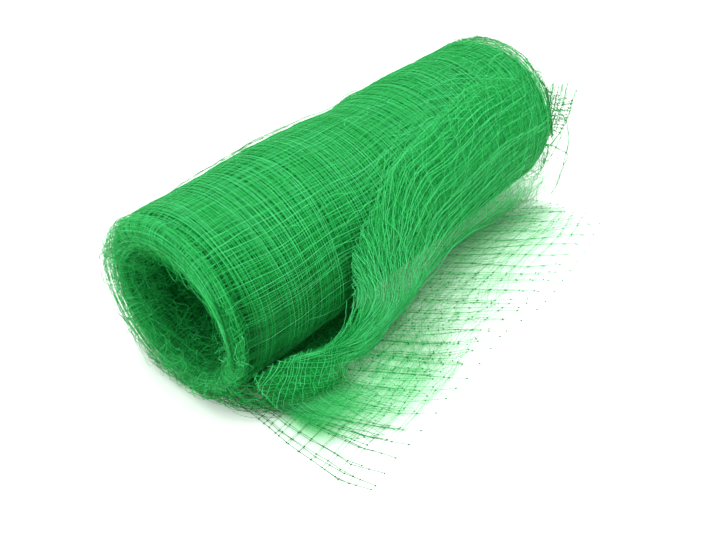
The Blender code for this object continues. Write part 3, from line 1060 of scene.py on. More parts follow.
def wind(bundle, form, fields, turn, count, spacing):
    """One turn of the net: its threads round the roll, and count threads along it that cross them."""
    rng, sizes = bundle.rng, bundle.sizes
    pitch = sizes.mesh_pitch / MM * sizes.drawn_together * spacing
    radius = 0.5 * sizes.wound_thickness
    share = turn / TURNS
    start = form.near_rim - rng.uniform(20.0, 46.0)
    end = form.far_rim + rng.uniform(16.0, 40.0)
    anchor = form.station_of(0.0) + (math.modf(GOLDEN * turn)[0] + rng.normal(0.0, 0.1)) * pitch
    first = math.ceil((start - anchor) / pitch)
    last = math.floor((end - anchor) / pitch)
    rows = anchor + pitch * np.arange(first, last + 1)
    columns = math.tau * (np.arange(count) + GOLDEN * turn) / count
    own_row = Wander(rng, (80.0, 300.0), 3)
    own_column = Wander(rng, (80.0, 300.0), 3)
    own_depth = Wander(rng, (30.0, 120.0), 6)

    even = np.meshgrid(rows, columns, indexing="ij")
    station, angle = even
    station = station + 1.3 * fields["row"].at(*even)
    station = station + 0.8 * own_row.at(*even) + rng.normal(0.0, 0.16, station.shape)
    drift = 2.0 * fields["column"].at(*even)
    drift = drift + 1.3 * own_column.at(*even) + rng.normal(0.0, 0.25, angle.shape)
    angle = angle + drift / BODY_RADIUS
    banded = smoothstep(form.station_of(20.0), form.station_of(90.0), station)
    station = station - 0.85 * banded * BAND_SPACING / math.tau * np.sin(math.tau * station / BAND_SPACING)
    proud = TURNS_PROUD[turn] if turn < len(TURNS_PROUD) else 0.0
    thin = min(max(turn - 3, 0) / 6.0, 1.0)

    def depth(station, angle, bridging):
        """How far under the form's face the turn lies."""
        base = 0.3 + turn * sizes.turn_depth / MM
        depth_wave = own_depth.at(station, angle)
        waves = 0.5 * fields["relief"].at(station, angle) + (0.2 + 0.3 * share) * depth_wave
        near, far = open_rim(form, station, angle)
        in_ranges = np.maximum(base + waves, 0.2) + bridging * groove(form, station, angle)
        in_ranges = in_ranges + thin * thinned(form, station, angle)
        return in_ranges - proud * (near + 1.3 * far) * (1.0 + 0.4 * depth_wave)

    # Painted shade: deeper turns are drawn darker, and shade() darkens the threads where less light gets
    # in. lit lets some threads take less of it.
    lit = np.where(rng.random((len(rows), 1)) < 0.28, 0.45, 1.06)
    tones = rng.normal(0.76 - 0.42 * share, 0.17, (len(rows), 1)) - lit * shade(form, station, angle)
    points, outward = form.laid(station, angle, -depth(station, angle, 1.0))
    bundle.add(points, outward, radius, tones, closed=True, run=0.35)

    # The threads along the roll have a point at every other crossing, and twice as many as there
    # are crossings on the lips, where they bend the most.
    lip = (rows < form.near_rim + 36.0) | (rows > form.far_rim - 26.0)
    every = np.arange(len(rows))
    kept = every[lip | (every % 2 == 0)]
    halfway = np.flatnonzero(lip[:-1] & lip[1:]) + 0.5
    index = np.sort(np.concatenate((kept, halfway)))
    low = np.minimum(index.astype(int), len(rows) - 2)
    part = (index - low)[:, None]
    station = (station[low] * (1 - part) + station[low + 1] * part).T
    angle = (angle[low] * (1 - part) + angle[low + 1] * part).T
    # Painted shade again for the threads along the roll: deeper turns darker, and less of shade() on the
    # flank.
    flank = 0.85 * about(angle, 2.75, 0.6) * smoothstep(form.near_rim + 26.0, form.near_rim + 50.0, station)
    quiet = smoothstep(form.station_of(20.0), form.station_of(100.0), station)
    tones = 0.74 - 0.42 * share + rng.normal(0.0, 0.16, (count, 1)) * (1.0 - 0.6 * quiet)
    lit = np.where(rng.random((count, 1)) < 0.28, 0.5, 1.06)
    tones = tones - lit * (shade(form, station, angle) * (1.0 - flank))
    lift = -depth(station, angle, 0.9 - 0.3 * (turn < 2))
    bundle.lay(form, station, angle, lift, radius * (0.92 - 0.34 * quiet), tones, run=0.4)


def curl(bundle, form, rim, inward, count, wildness):
    """Threads round a mouth's wall. The less wild ones lie in rings."""
    rng, draw = bundle.rng, bundle.draws(count, 34)
    middle = rim + inward * draw.even(7.0 * wildness, 94.0)
    start = draw.even(0.0, math.tau)
    sweep = rng.choice((-1.0, 1.0), (count, 1)) * (draw.even(0.2, 1.2) + 0.6 * (1.0 - wildness))
    station = middle + draw.normal(0.0, 18.0 * wildness) * (draw.share - 0.5)
    angle = start + sweep * draw.share
    lift = draw.even(0.3, 3.0 + 4.0 * wildness) + 0.0 * station
    for _ in range(4):
        turns = math.tau * draw.even(0.8, 3.4) * draw.share
        phase = rng.uniform(0.0, math.tau, (3, count, 1))
        size = draw.even(0.3, 1.0) * wildness
        station = station + 5.5 * size * np.sin(turns + phase[0])
        angle = angle + 0.10 * size * np.sin(turns + phase[1])
        lift = lift + 2.4 * size * np.sin(turns + phase[2])
    # Painted shade: threads deeper in the mouth are drawn darker.
    deep = 0.16 * smoothstep(20.0, 70.0, np.abs(middle - rim))[:, 0]
    tones = np.clip(rng.normal(0.48, 0.18, count) - deep, 0.04, 0.95)
    radius = 0.42 * bundle.sizes.wound_thickness
    bundle.lay(form, station, angle, np.clip(lift, -1.5, 13.0), radius, tones, run=0.4)


# ---- Threads that stand off the roll ----


def lift_long(bundle, form):
    """Threads along the roll that stand off it, a few of them over its top from the near end."""
    count, over = 34, 9
    rng, draw = bundle.rng, bundle.draws(count, 44)

    def even(low, high, over_low, over_high):
        """Even between the limits, with limits of their own for the threads over the top."""
        drawn = draw.even(low, high)
        drawn[:over] = rng.uniform(over_low, over_high, (over, 1))
        return drawn

    start = form.station_of(even(-215.0, 120.0, -218.0, -90.0))
    station = np.minimum(start + draw.even(60.0, 220.0) * draw.share, form.far_rim - 4.0)
    angle = even(0.3, 3.4, 0.8, 1.06) + 0.05 * draw.wave(2.0)
    lift = even(0.6, 2.4, 1.6, 3.8) * np.sin(math.pi * draw.share) ** 0.6 + 0.4 * draw.wave(6.0)
    tones = np.clip(rng.normal(0.74, 0.12, count) - 0.4 * (np.arange(count) < over), 0.1, 0.97)
    bundle.lay(form, station, angle, lift, 0.42 * bundle.sizes.wound_thickness, tones)


def lift_round(bundle, form):
    """Threads round the ends that stand off them."""
    rng, draw = bundle.rng, bundle.draws(170, 22)
    near = draw.odds() < 0.66
    rim = np.where(near, form.near_rim + draw.normal(7.0, 11.0), form.far_rim - draw.normal(4.0, 9.0))
    station = rim + draw.normal(0.0, 10.0) * (draw.share - 0.5) + 3.0 * draw.wave(1.5)
    angle = draw.even(-1.9, math.tau - 1.9) + draw.even(0.2, 0.8) * draw.share
    rise = np.sin(math.pi * draw.share) ** 0.7
    lift = draw.even(0.5, 3.2) * (1.0 + 1.3 * about(angle, -0.2, 1.0)) * rise + 0.6 * draw.wave(5.0)
    tones = np.clip(rng.normal(0.42, 0.18, len(near)), 0.1, 0.97)
    bundle.lay(form, station, angle, lift, 0.4 * bundle.sizes.wound_thickness, tones)


def fray(bundle, form):
    """The net's side edge standing off the far end, knot by knot."""
    rng = bundle.rng
    thickness = bundle.sizes.wound_thickness
    count, steps = 19, 5
    angle = np.radians(np.linspace(118.0, 246.0, count) + rng.uniform(-3.0, 3.0))[:, None]
    step = np.arange(steps)[None] * np.ones((count, 1))
    angle = angle + rng.normal(0.0, 0.014, step.shape) + 0.05 * np.sin(3.0 * step)
    wave = Wander(rng, (1.2, 3.0), 3)
    rise = np.sin(np.clip((angle - 2.05) / 2.3, 0.0, 1.0) * math.pi) ** 0.5
    length = step * rise * (4.6 + 1.4 * wave.at(angle, 0.5 * step))
    points, outward = form.laid(np.full_like(angle, form.far_rim - 17.0), angle, 0.6)
    lean = 0.45 + 0.12 * np.sin(4.0 * angle)
    points = points + (unit(outward + lean[..., None] * np.array((1.0, 0.0, 0.0))) * length[..., None]) * MM
    points = points + rng.normal(0.0, 0.0007, points.shape) * (step > 0)[..., None]
    points[..., 2] = np.maximum(points[..., 2], FRAYED_HEIGHT * MM)
    aside = np.cross(outward, (0.3, 0.8, 0.5))
    tones = np.clip(rng.normal(0.46, 0.12, count), 0.1, 0.95)
    bundle.add(points, aside, 0.55 * thickness, tones, run=0.15)
    tones = np.clip(rng.normal(0.6, 0.12, steps - 1), 0.1, 0.95)
    across = points[:, 1:].transpose(1, 0, 2)
    aside = outward[:, 1:].transpose(1, 0, 2)
    bundle.add(across, aside, 0.46 * thickness, tones)
    bundle.add_knots(points[:, 1:], 0.95 * thickness, 0.2)


def stand(bundle):
    """The corner of the net that stands off the far end. It says where its threads begin."""
    rng, sizes = bundle.rng, bundle.sizes
    starts = []
    standing = [smooth_line(line, 14) for line in STANDING_THREADS]
    crossing = [smooth_line(line, 14) for line in CROSSING_THREADS]
    standing += [0.5 * (first + second) for first, second in zip(standing[:3], standing[1:4])]
    for share in (0.35, 0.7):
        crossing += [first + (second - first) * share for first, second in zip(crossing[:4], crossing[1:5])]
    for lines, copies, thick in ((standing, 4, 0.58), (crossing, 3, 0.6)):
        for number, flat in enumerate(lines):
            out = CORNER_X + 6.0 * smoothstep(60.0, 140.0, flat[:, 1:]) + 1.2 * math.sin(2.1 * number)
            points = np.concatenate((out, flat), 1)[None] * MM
            starts.append(points[0, 0])
            for copy in range(copies):
                moved = points + rng.normal(0.0, 0.0006, points.shape)
                moved = moved + min(copy, 1) * rng.normal(0.0, 0.0009, (1, 1, 3))
                aside = np.broadcast_to((1.0, 0.2, 0.1), moved.shape)
                bundle.add(moved, aside, thick * sizes.wound_thickness, 0.24 + 0.1 * copy)
            if lines is crossing:
                bundle.add_knots(points[:, ::4], 0.66 * sizes.knot_size, 0.08)
    return np.array(starts)


def tie(bundle, form, starts):
    """Short threads that hold the standing corner to the far rim."""
    starts = np.repeat(starts, 7, axis=0)
    rng, draw = bundle.rng, bundle.draws(len(starts), 12)
    angle = np.arctan2(starts[:, 2:] - ROLL_MIDDLE_Z * MM, starts[:, 1:2]) - draw.even(0.02, 0.34)
    root, outward = form.laid(form.far_rim - draw.even(2.0, 9.0), angle, 0.3)
    bow = draw.even(1.0, 3.0) * np.sin(math.pi * draw.share) * MM
    points = root + (starts[:, None] - root) * draw.share[..., None] + bow[..., None] * outward
    tones = np.clip(rng.normal(0.4, 0.14, len(starts)), 0.1, 0.95)
    aside = np.broadcast_to(outward, points.shape)
    bundle.add(points, aside, 0.46 * bundle.sizes.wound_thickness, tones)


def bristle(bundle, form):
    """Short wavy threads that stand off both ends' open rims, in all directions."""
    count = 200
    rng, draw = bundle.rng, bundle.draws(count, 16)
    far = draw.odds() < 0.62
    angle = np.where(far, draw.even(0.7, 2.7), draw.even(-1.7, 0.95))
    rim = np.where(far, form.far_rim - 6.0, form.near_rim + 4.0)
    station = rim + draw.normal(0.0, 9.0) * np.where(far, 0.6, 1.0)
    heading = draw.even(0.0, math.tau)
    length = draw.even(8.0, 30.0)
    sway = draw.even(1.0, 3.0) * draw.wave(1.3)
    forward, aside = np.cos(heading), np.sin(heading)
    station = station + 0.5 * length * draw.share * forward - sway * aside
    angle = angle + (length * draw.share * aside + sway * forward) / RIM_RADIUS
    height = draw.even(0.8, 6.5) * np.sin(math.pi * draw.share) ** 0.6
    lift = height * bell(station, rim, 26.0) - 0.6
    tones = rng.normal(0.34, 0.14, count)
    bundle.lay(form, station, angle, lift, 0.4 * bundle.sizes.wound_thickness, tones)


def loops(bundle, form):
    """Slack loops hanging off both ends near the floor."""
    count = 92
    rng, draw = bundle.rng, bundle.draws(count, 30)
    near = (np.arange(count) < 80)[:, None]
    rim = np.where(near, form.near_rim + draw.normal(9.0, 8.0), form.far_rim - draw.even(-4.0, 16.0))
    middle = np.where(near, draw.even(3.1, 4.4), draw.even(3.2, 4.2))
    reach = np.where(near, draw.even(0.06, 0.3), draw.even(0.15, 0.5))
    height = np.where(near, draw.even(1.0, 6.5), draw.even(6.0, 22.0))
    angle = middle + reach * (2.0 * draw.share - 1.0) + 0.02 * draw.wave(3.0)
    station = rim + 7.0 * draw.wave(1.0)
    lift = height * np.sin(math.pi * draw.share) ** 0.8 + 0.5 * np.sin(math.tau * 4.0 * draw.share)
    tones = np.where(near[:, 0], rng.normal(0.46, 0.24, count), rng.normal(0.56, 0.14, count))
    radius = 0.4 * bundle.sizes.wound_thickness
    bundle.lay(form, station, angle, lift, radius, tones, lowest=FRAYED_HEIGHT)


# ---- The loose flap ----


class FlapLayer:
    """One of the nets that the flap is gathered from, with its own small waves."""

    def __init__(self, bundle, surface, pleated, layer):
        self.bundle = bundle
        self.surface = surface
        self.pleated = pleated
        self.layer = layer
        self.opened, self.swing = FLAP_LAYERS[layer]
        self.radius = 0.5 * bundle.sizes.loose_thickness
        self.own = Wander(bundle.rng, (0.2, 0.9), 2)
        self.spread = Wander(bundle.rng, (0.3, 1.2), 2)

    def lay(self):
        """Adds the layer's threads and knots."""
        self.lay_along()
        self.lay_down()
        if self.opened:
            self.lay_hem()
            self.lay_across()

    def placed(self, row, column, extra=0.0):
        """Points and outward directions on this layer."""
        down = column / HANG
        hanging = 1.0 - smoothstep(0.8, 1.05, down)
        wave = 0.8 * self.own.at(row / self.surface.last_row, 3.0 * down)
        offset = FLAP_OFFSET + FLAP_LAYER_STEP * self.layer
        height = self.pleated(row, column) + hanging * (offset + wave)
        height = height + (1.0 - hanging) * (LYING_STEP * self.layer) + extra
        return self.surface.off(row, column, height)

    def lay_along(self):
        """Gathered threads along the roll.

        They come in over the ridge and sink down the band, then a few of them keep to the ridge and
        the others fan out at the foot.
        """
        rng, last_row, last_column = self.bundle.rng, self.surface.last_row, self.surface.last_column
        count, steps = LONG_THREADS, 54
        share = (np.arange(count) + rng.uniform(0.0, 1.0, count)) / count
        over = -HANG * GATHERED / (1.0 - GATHERED)
        far = np.interp(share, (0.0, 0.86, 1.0), (over, HANG, HANG + LYING))[:, None]
        fanned = np.interp(share, (0.0, 0.28, 1.0), (0.0, 0.2, 1.05))[:, None]
        kept_on = rng.random(count) < 0.18 * (share < 0.2) + 0.05
        phase = rng.uniform(0.0, math.tau, (count, 1))
        waves = rng.uniform(9.0, 17.0, (count, 1))
        below = (rng.uniform(0.0, 7.0, count) * (share < 0.3))[:, None]

        def long_column(row):
            """The column of each thread in a row, before its own waves."""
            left = 1.0 - GATHERED * (1.0 - smoothstep(44.0, 82.0, row))
            column = HANG - (HANG - far) * np.where(far < HANG, left, 1.0)
            near = (1.0 - smoothstep(20.0, 52.0, row)) * (far <= HANG)
            reach = fanned * np.interp(row, FAN_ROWS, FAN_REACH)
            return column * (1.0 - near) + (brim(row) + 0.6 + below + reach * (HANG - brim(row))) * near

        every = np.linspace(0.0, last_row, 150)[None]
        entry = np.where(long_column(every) > -0.4, every, 0.0).max(1)[:, None]
        begun = rng.uniform(21.0, 36.0, count) + 16.0 * (share < 0.28)
        first = np.where(kept_on, rng.uniform(10.0, 15.0, count), begun)[:, None]
        last = entry - rng.uniform(0.0, 7.0, (count, 1))
        last = np.minimum(last, last_row * (0.98 - 0.14 * rng.random((count, 1))))
        row = first + (last - first) * shares(steps)[None]
        column = long_column(row)
        drift = 1.5 * self.spread.at(row / last_row, column / HANG) * smoothstep(10.0, 50.0, row)
        column = column + drift + 0.28 * np.sin(math.tau * waves * (row / last_row) + phase)
        column = column + rng.normal(0.0, 0.14, row.shape)
        tucked = 1.0 - smoothstep(0.0, 0.07, shares(steps))[None]
        points, outward = self.placed(row, np.clip(np.abs(column), 0.0, last_column), -4.5 * tucked)
        laid = smoothstep(HANG, HANG + 10.0, column)
        # Painted light and shade: the outer layers are drawn paler than the inner ones, and the tucked ends
        # darker where they sink behind the ridge.
        outermost = smoothstep(2.5, 4.5, self.layer)
        tones = rng.normal(0.56 + 0.32 * outermost, 0.15, (count, 1)) - 0.15 * laid - 0.3 * tucked
        # Painted light: the band's crest, and its middle further along the roll, are drawn paler.
        tones = tones + 0.3 * bell(row, *PAINTED_LIGHT_ROWS) * (1.0 - smoothstep(36.0, 54.0, column))
        tones = tones + 0.12 * smoothstep(34.0, 50.0, row) * smoothstep(16.0, 40.0, column)
        self.bundle.add(points, outward, self.radius * (0.9 - 0.45 * laid), tones, run=0.5)

    def down_row(self, thread, column):
        """The row of a thread down the flap, which swings towards the near end."""
        top = self.tops[thread]
        down = np.minimum(column / HANG, 1.0)
        wave = 0.6 * np.sin(2.6 * down + self.bends + 0.05 * top)
        wave = wave + 0.5 * self.own.at(down, 4.0 * top / self.surface.last_row)
        wave = wave * (0.4 + 0.6 * smoothstep(20.0, 40.0, top))
        lying = np.maximum(column - HANG, 0.0) / LYING
        back = (6.0 * lying + 8.0 * lying**6) * smoothstep(30.0, 60.0, top)
        return top - self.swings[thread] * np.sin(0.5 * math.pi * down) + back + wave

    def lay_down(self):
        """Threads down the flap."""
        rng, last_row, last_column = self.bundle.rng, self.surface.last_row, self.surface.last_column
        lines = np.arange(int(1.14 * DOWN_THREADS))
        tops = (lines + 0.25 * self.layer + rng.normal(0.0, 0.08, len(lines))) / DOWN_THREADS * last_row
        tops = np.interp(tops, EVEN_TOPS, LAID_TOPS)
        self.tops = tops
        self.swings = self.swing * np.interp(tops, SWING_ROWS, SWING)
        self.bends = rng.uniform(0.0, math.tau)

        column = np.linspace(0.0, last_column, 200)[None]
        row = self.down_row(lines[:, None], column)
        ends = 0.0 * tops[:, None] if self.opened else rng.uniform(18.0, 33.0, (len(tops), 1))
        far_ends = last_row - rng.uniform(0.0, 12.0, (len(tops), 1)) * smoothstep(10.0, 30.0, column)
        inside = (row < far_ends) & (row > ends) & (column > brim(row))
        lowest = HANG + rng.uniform(2.0, 26.0, len(tops)) * (1.0 - smoothstep(30.0, 60.0, tops))
        if self.opened:
            lowest = last_column - rng.uniform(2.0, 12.0, len(tops)) * smoothstep(30.0, 50.0, tops)
        high = np.where(inside, column, last_column).min(1) + rng.uniform(0.0, 1.5, len(tops))
        low = np.where(inside, column, 0.0).max(1)
        low = np.minimum(low, lowest + rng.uniform(-4.0, 2.0, len(tops)))
        self.high, self.low, self.kept = high, low, np.flatnonzero(low - high > 6.0)
        high, low = high[self.kept, None], low[self.kept, None]
        column = high + (low - high) * shares(40)[None]
        row = self.down_row(self.kept[:, None], column) + rng.normal(0.0, 0.06, column.shape)
        row = np.clip(row, 0.0, last_row)
        curled = rng.uniform(0.0, 5.0, (len(self.kept), 1))
        curled = curled * smoothstep(last_column - 7.0, last_column + 2.0, column)
        points, outward = self.placed(row, column, curled)
        hanging = 1.0 - smoothstep(HANG, HANG + 16.0, column)
        near = 1.0 - smoothstep(10.0, 34.0, row)
        tones = rng.normal(0.62, 0.14, (len(self.kept), 1)) - 0.16 * (1.0 - hanging)
        # Painted light: the band's crest, and its middle further along the roll, are drawn paler.
        tones = tones + (0.12 * near + 0.12 * bell(row, *PAINTED_LIGHT_ROWS)) * hanging
        tones = tones + 0.1 * smoothstep(34.0, 50.0, row) * smoothstep(16.0, 40.0, column) * hanging
        radius = self.radius * (0.86 + 0.5 * near * hanging)
        self.bundle.add(bunched(points), outward, radius, tones, run=0.4)

    def lay_hem(self):
        """Two threads along the layer's near edge."""
        rng = self.bundle.rng
        row = 0.5 + 0.7 * rng.random((2, 1)) + np.zeros((1, 40))
        points, outward = self.placed(row, np.linspace(1.5, HANG + 6.0, 40)[None] + 0.0 * row)
        self.bundle.add(points, outward, 0.6 * self.radius, rng.normal(0.62, 0.08, 2), run=0.4)

    def lay_across(self):
        """Cross threads where the layer lies open, at the near end and on the floor, and its knots."""
        rng, last_row, last_column = self.bundle.rng, self.surface.last_row, self.surface.last_column
        sizes, count = self.bundle.sizes, OPEN_THREADS
        edge = np.linspace(-44.0, last_column - 3.0, count) + rng.normal(0.0, 1.2, count)
        settled = 58.0 + 0.31 * edge
        phase = rng.uniform(0.0, math.tau, count)

        def cross_column(thread, row):
            """The column of a cross thread in a row."""
            wave = 0.4 * np.sin(0.45 * row + phase[thread])
            return settled[thread] - (settled - edge)[thread] * np.exp(-row / 15.0) + wave

        every = np.linspace(0.0, last_row, 300)[None]
        thread = np.arange(count)[:, None]
        first = np.where(cross_column(thread, every) < brim(every) + 0.4, every, 0.0).max(1)[:, None]
        last = last_row * rng.uniform(0.55, 1.0, (count, 1))
        row = first + (last - first) * shares(64)[None] ** 1.5
        column = np.clip(cross_column(thread, row) + rng.normal(0.0, 0.12, row.shape), 0.0, last_column)
        points, outward = self.placed(row, column)
        laid = smoothstep(HANG, HANG + 16.0, column)
        near = (1.0 - smoothstep(10.0, 34.0, row)) * (1.0 - laid)
        tones = rng.normal(0.74, 0.12, (count, 1)) - 0.2 * laid - 0.16 * near
        radius = sizes.loose_thickness * (0.34 + 0.04 * near - 0.12 * laid)
        self.bundle.add(points, outward, radius, tones, run=0.5)

        down, along = np.meshgrid(self.kept, np.arange(count), indexing="ij")
        row = self.down_row(down, float(HANG))
        for _ in range(6):
            column = cross_column(along, np.clip(row, 0.0, last_row))
            row = 0.5 * row + 0.5 * self.down_row(down, column)
        shown = (row > 0.5) & (row < last_row) & (column < self.low[down]) & (column > self.high[down])
        row, column = row[shown], column[shown]
        points, _ = self.placed(row, column)
        laid = smoothstep(HANG, HANG + 10.0, column)
        self.bundle.add_knots(bunched(points), 0.5 * sizes.knot_size * (0.4 + 0.6 * laid), 0.7 - 0.5 * laid)


def join(bundle, form):
    """Threads that leave the roll's face and run into the flap, more of them over the far crown."""
    sections = np.array(FLAP_SECTIONS, float)
    rng, draw = bundle.rng, bundle.draws(46, 34)
    x = draw.even(-110.0, 150.0) + draw.even(50.0, 150.0) * draw.share
    ridge = np.radians(90.0 + np.interp(x, sections[:, 0], sections[:, 1]))
    before = draw.even(8.0, 34.0) + 34.0 * draw.odds() * smoothstep(20.0, 90.0, x)
    after = draw.even(-16.0, 4.0)
    way = draw.share ** draw.even(0.7, 1.6)
    way = np.where(draw.odds() < 0.4, way[:, ::-1], way)
    above = before + (after - before) * way + 0.8 * draw.wave(4.0)
    lift = 0.2 + 5.4 * (1.0 - smoothstep(-6.0, 10.0, above)) + draw.even(0.0, 0.8)
    station = form.station_of(np.minimum(x, FLAP_END))
    tones = rng.normal(0.78, 0.14, len(x))
    angle = ridge - above / RIDGE_REACH
    bundle.lay(form, station, angle, lift, 0.38 * bundle.sizes.loose_thickness, tones)


def hang_on(bundle, form, surface):
    """Slack threads from the roll's near lip to the flap's near edge, over the gap between them."""
    count = 90
    rng, draw = bundle.rng, bundle.draws(count, 26)
    station = form.near_rim + draw.even(-4.0, 24.0)
    start, _ = form.laid(station, draw.even(3.6, 4.65), 0.4)
    low = draw.odds() < 0.55
    column = np.where(low, draw.even(46.0, 66.0), draw.even(16.0, 50.0))
    end, outward = surface.at(draw.even(0.0, 10.0), column)
    share = draw.share[..., None]
    points = start + (end - start) * share
    bow = rng.normal((0.0, -1.0, -9.0), (4.0, 4.0, 6.0), (count, 1, 3))
    points = points + bow * np.sin(math.pi * share) * MM
    for waves in (1.6, 2.9):
        phase = rng.uniform(0.0, math.tau, (count, 1, 3))
        size = rng.uniform(0.4, 2.2, (count, 1, 1))
        points = points + size * np.sin(math.tau * waves * share + phase) * MM
    points[..., 2] = np.maximum(points[..., 2], 0.0008 + 0.0012 * draw.odds())
    # Painted shade: the threads that end low, in the shade under the lip, are drawn dark.
    tones = np.where(low[:, 0], rng.normal(0.16, 0.1, count), rng.normal(0.42, 0.2, count))
    bundle.add(points, outward, 0.42 * bundle.sizes.loose_thickness, tones)


# ---- The net on the floor ----


def lay_floor_net(bundle, surface, layer):
    """One net: its outward threads fan from the foot, and the threads along the roll cross them."""
    rng, sizes = bundle.rng, bundle.sizes
    cut, shift = FLOOR_LAYERS[layer]
    last_row, last_column = surface.last_row, surface.last_column
    own = Wander(rng, (0.3, 1.2), 2)
    lines = np.arange(OUTWARD_THREADS) + shift
    ends = np.interp(lines, np.arange(6), FIRST_ENDS) + END_PITCH * np.maximum(lines - 5.0, 0.0)
    gain = np.interp(ends, GAIN_ENDS, GAIN)[:, None]
    across = last_column * cut * np.arange(1, CROSS_THREADS + 1) / CROSS_THREADS
    column = across[None] + 0.6 * own.at(ends[:, None] / last_row, across[None] / last_column)
    column = np.clip(column + rng.normal(0.0, 0.12, column.shape), 0.0, last_column)
    row = ends[:, None] - gain * (last_column - column) + rng.normal(0.0, 0.12, column.shape)
    row = row + 0.5 * own.at(row / last_row, column / last_column) * smoothstep(0.0, 8.0, row)
    inside = (row < last_row) & (row > (8.0 if layer > 1 else -1.0))
    row = np.clip(row, 0.0, last_row)
    curled = rng.uniform(0.0, 2.0, (OUTWARD_THREADS, 1)) * smoothstep(0.86 * cut, cut, column / last_column)
    points, outward = surface.off(row, column, FLOOR_OFFSET + FLOOR_LAYER_STEP * layer + curled)
    points = bunched(points)
    near = 1.0 - smoothstep(14.0, 34.0, row)
    far = smoothstep(60.0, 110.0, row)
    outer = smoothstep(26.0, 60.0, column) * (1.0 - smoothstep(8.0, 22.0, row))
    faint = smoothstep(34.0, 62.0, row) * (layer > 1)
    tones = rng.normal(0.42, 0.08, (OUTWARD_THREADS, 1)) - 0.2 * near - 0.12 * outer + 0.24 * far
    tones = tones + 0.16 * (layer > 1) + 0.14 * faint
    radius = sizes.loose_thickness * (0.46 + 0.06 * near + 0.24 * outer - 0.24 * faint)
    cross_tones = 0.5 - 0.3 * near + 0.2 * far
    cross_radius = sizes.fine_thickness * (0.4 + 0.3 * near + 0.2 * far - 0.25 * faint)
    for line in range(OUTWARD_THREADS):
        shown = inside[line]
        if shown.sum() > 1:
            bundle.add(*(part[line, shown][None] for part in (points, outward, radius, tones)))
    for line in range(CROSS_THREADS):
        shown = inside[:, line]
        bundle.add(*(part[shown, line][None] for part in (points, outward, cross_radius, cross_tones)))
    size = 0.5 * sizes.knot_size * (1.4 - 0.1 * near - 0.2 * far - 0.7 * faint)
    bundle.add_knots(points[inside], size[inside], (0.06 + 0.16 * far)[inside])


# ---- Operators ----


class OBJECT_OT_packed_turns(bpy.types.Operator):
    """Make the bed of packed turns under the ones that show"""

    bl_idname = "object.netting_packed_turns"
    bl_label = "Packed turns"

    def execute(self, context):
        piece = pack(wound_form(), context.scene.netting_sizes, context.scene.netting_colours)
        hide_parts("net_roll")
        return {"FINISHED"}


class OBJECT_OT_wound_turns(bpy.types.Operator):
    """Wind the turns of net that show, thread by thread"""

    bl_idname = "object.netting_wound_turns"
    bl_label = "Wound turns"

    def execute(self, context):
        finish = thread_finish("wound_thread", context.scene.netting_colours)
        bundle = ThreadBundle(SEEDS["turns"], context.scene.netting_sizes)
        fields = {
            "row": Wander(bundle.rng, (90.0, 400.0), 3),
            "column": Wander(bundle.rng, (80.0, 400.0), 2),
            "relief": Wander(bundle.rng, RELIEF_LENGTHS, 5),
        }
        for name, first, last, count, spacing in TURN_GROUPS:
            for turn in range(first, last):
                wind(bundle, wound_form(), fields, turn, count, spacing)
            piece = bundle.piece(name, finish)
        return {"FINISHED"}


class OBJECT_OT_mouth_tangle(bpy.types.Operator):
    """Fill both mouths of the roll with curled thread ends"""

    bl_idname = "object.netting_mouth_tangle"
    bl_label = "Mouth tangle"

    def execute(self, context):
        sizes = context.scene.netting_sizes
        form = wound_form()
        bundle = ThreadBundle(SEEDS["tangle"], sizes)
        for rim, inward, share in ((form.near_rim, -1.0, 1.0), (form.far_rim, 1.0, 0.6)):
            count = round(share * sizes.tangle_threads)
            curl(bundle, form, rim, inward, count, 1.0)
            curl(bundle, form, rim, inward, round(0.6 * count), 0.3)
        piece = bundle.piece("mouth_tangle", thread_finish("wound_thread", context.scene.netting_colours))
        return {"FINISHED"}


class OBJECT_OT_stray_threads(bpy.types.Operator):
    """Lift a few loose threads off the roll, and fray its ends"""

    bl_idname = "object.netting_stray_threads"
    bl_label = "Stray threads"

    def execute(self, context):
        form = wound_form()
        bundle = ThreadBundle(SEEDS["stray"], context.scene.netting_sizes)
        lift_long(bundle, form)
        lift_round(bundle, form)
        fray(bundle, form)
        starts = stand(bundle)
        bristle(bundle, form)
        loops(bundle, form)
        tie(bundle, form, starts)
        piece = bundle.piece("stray_threads", thread_finish("wound_thread", context.scene.netting_colours))
        return {"FINISHED"}


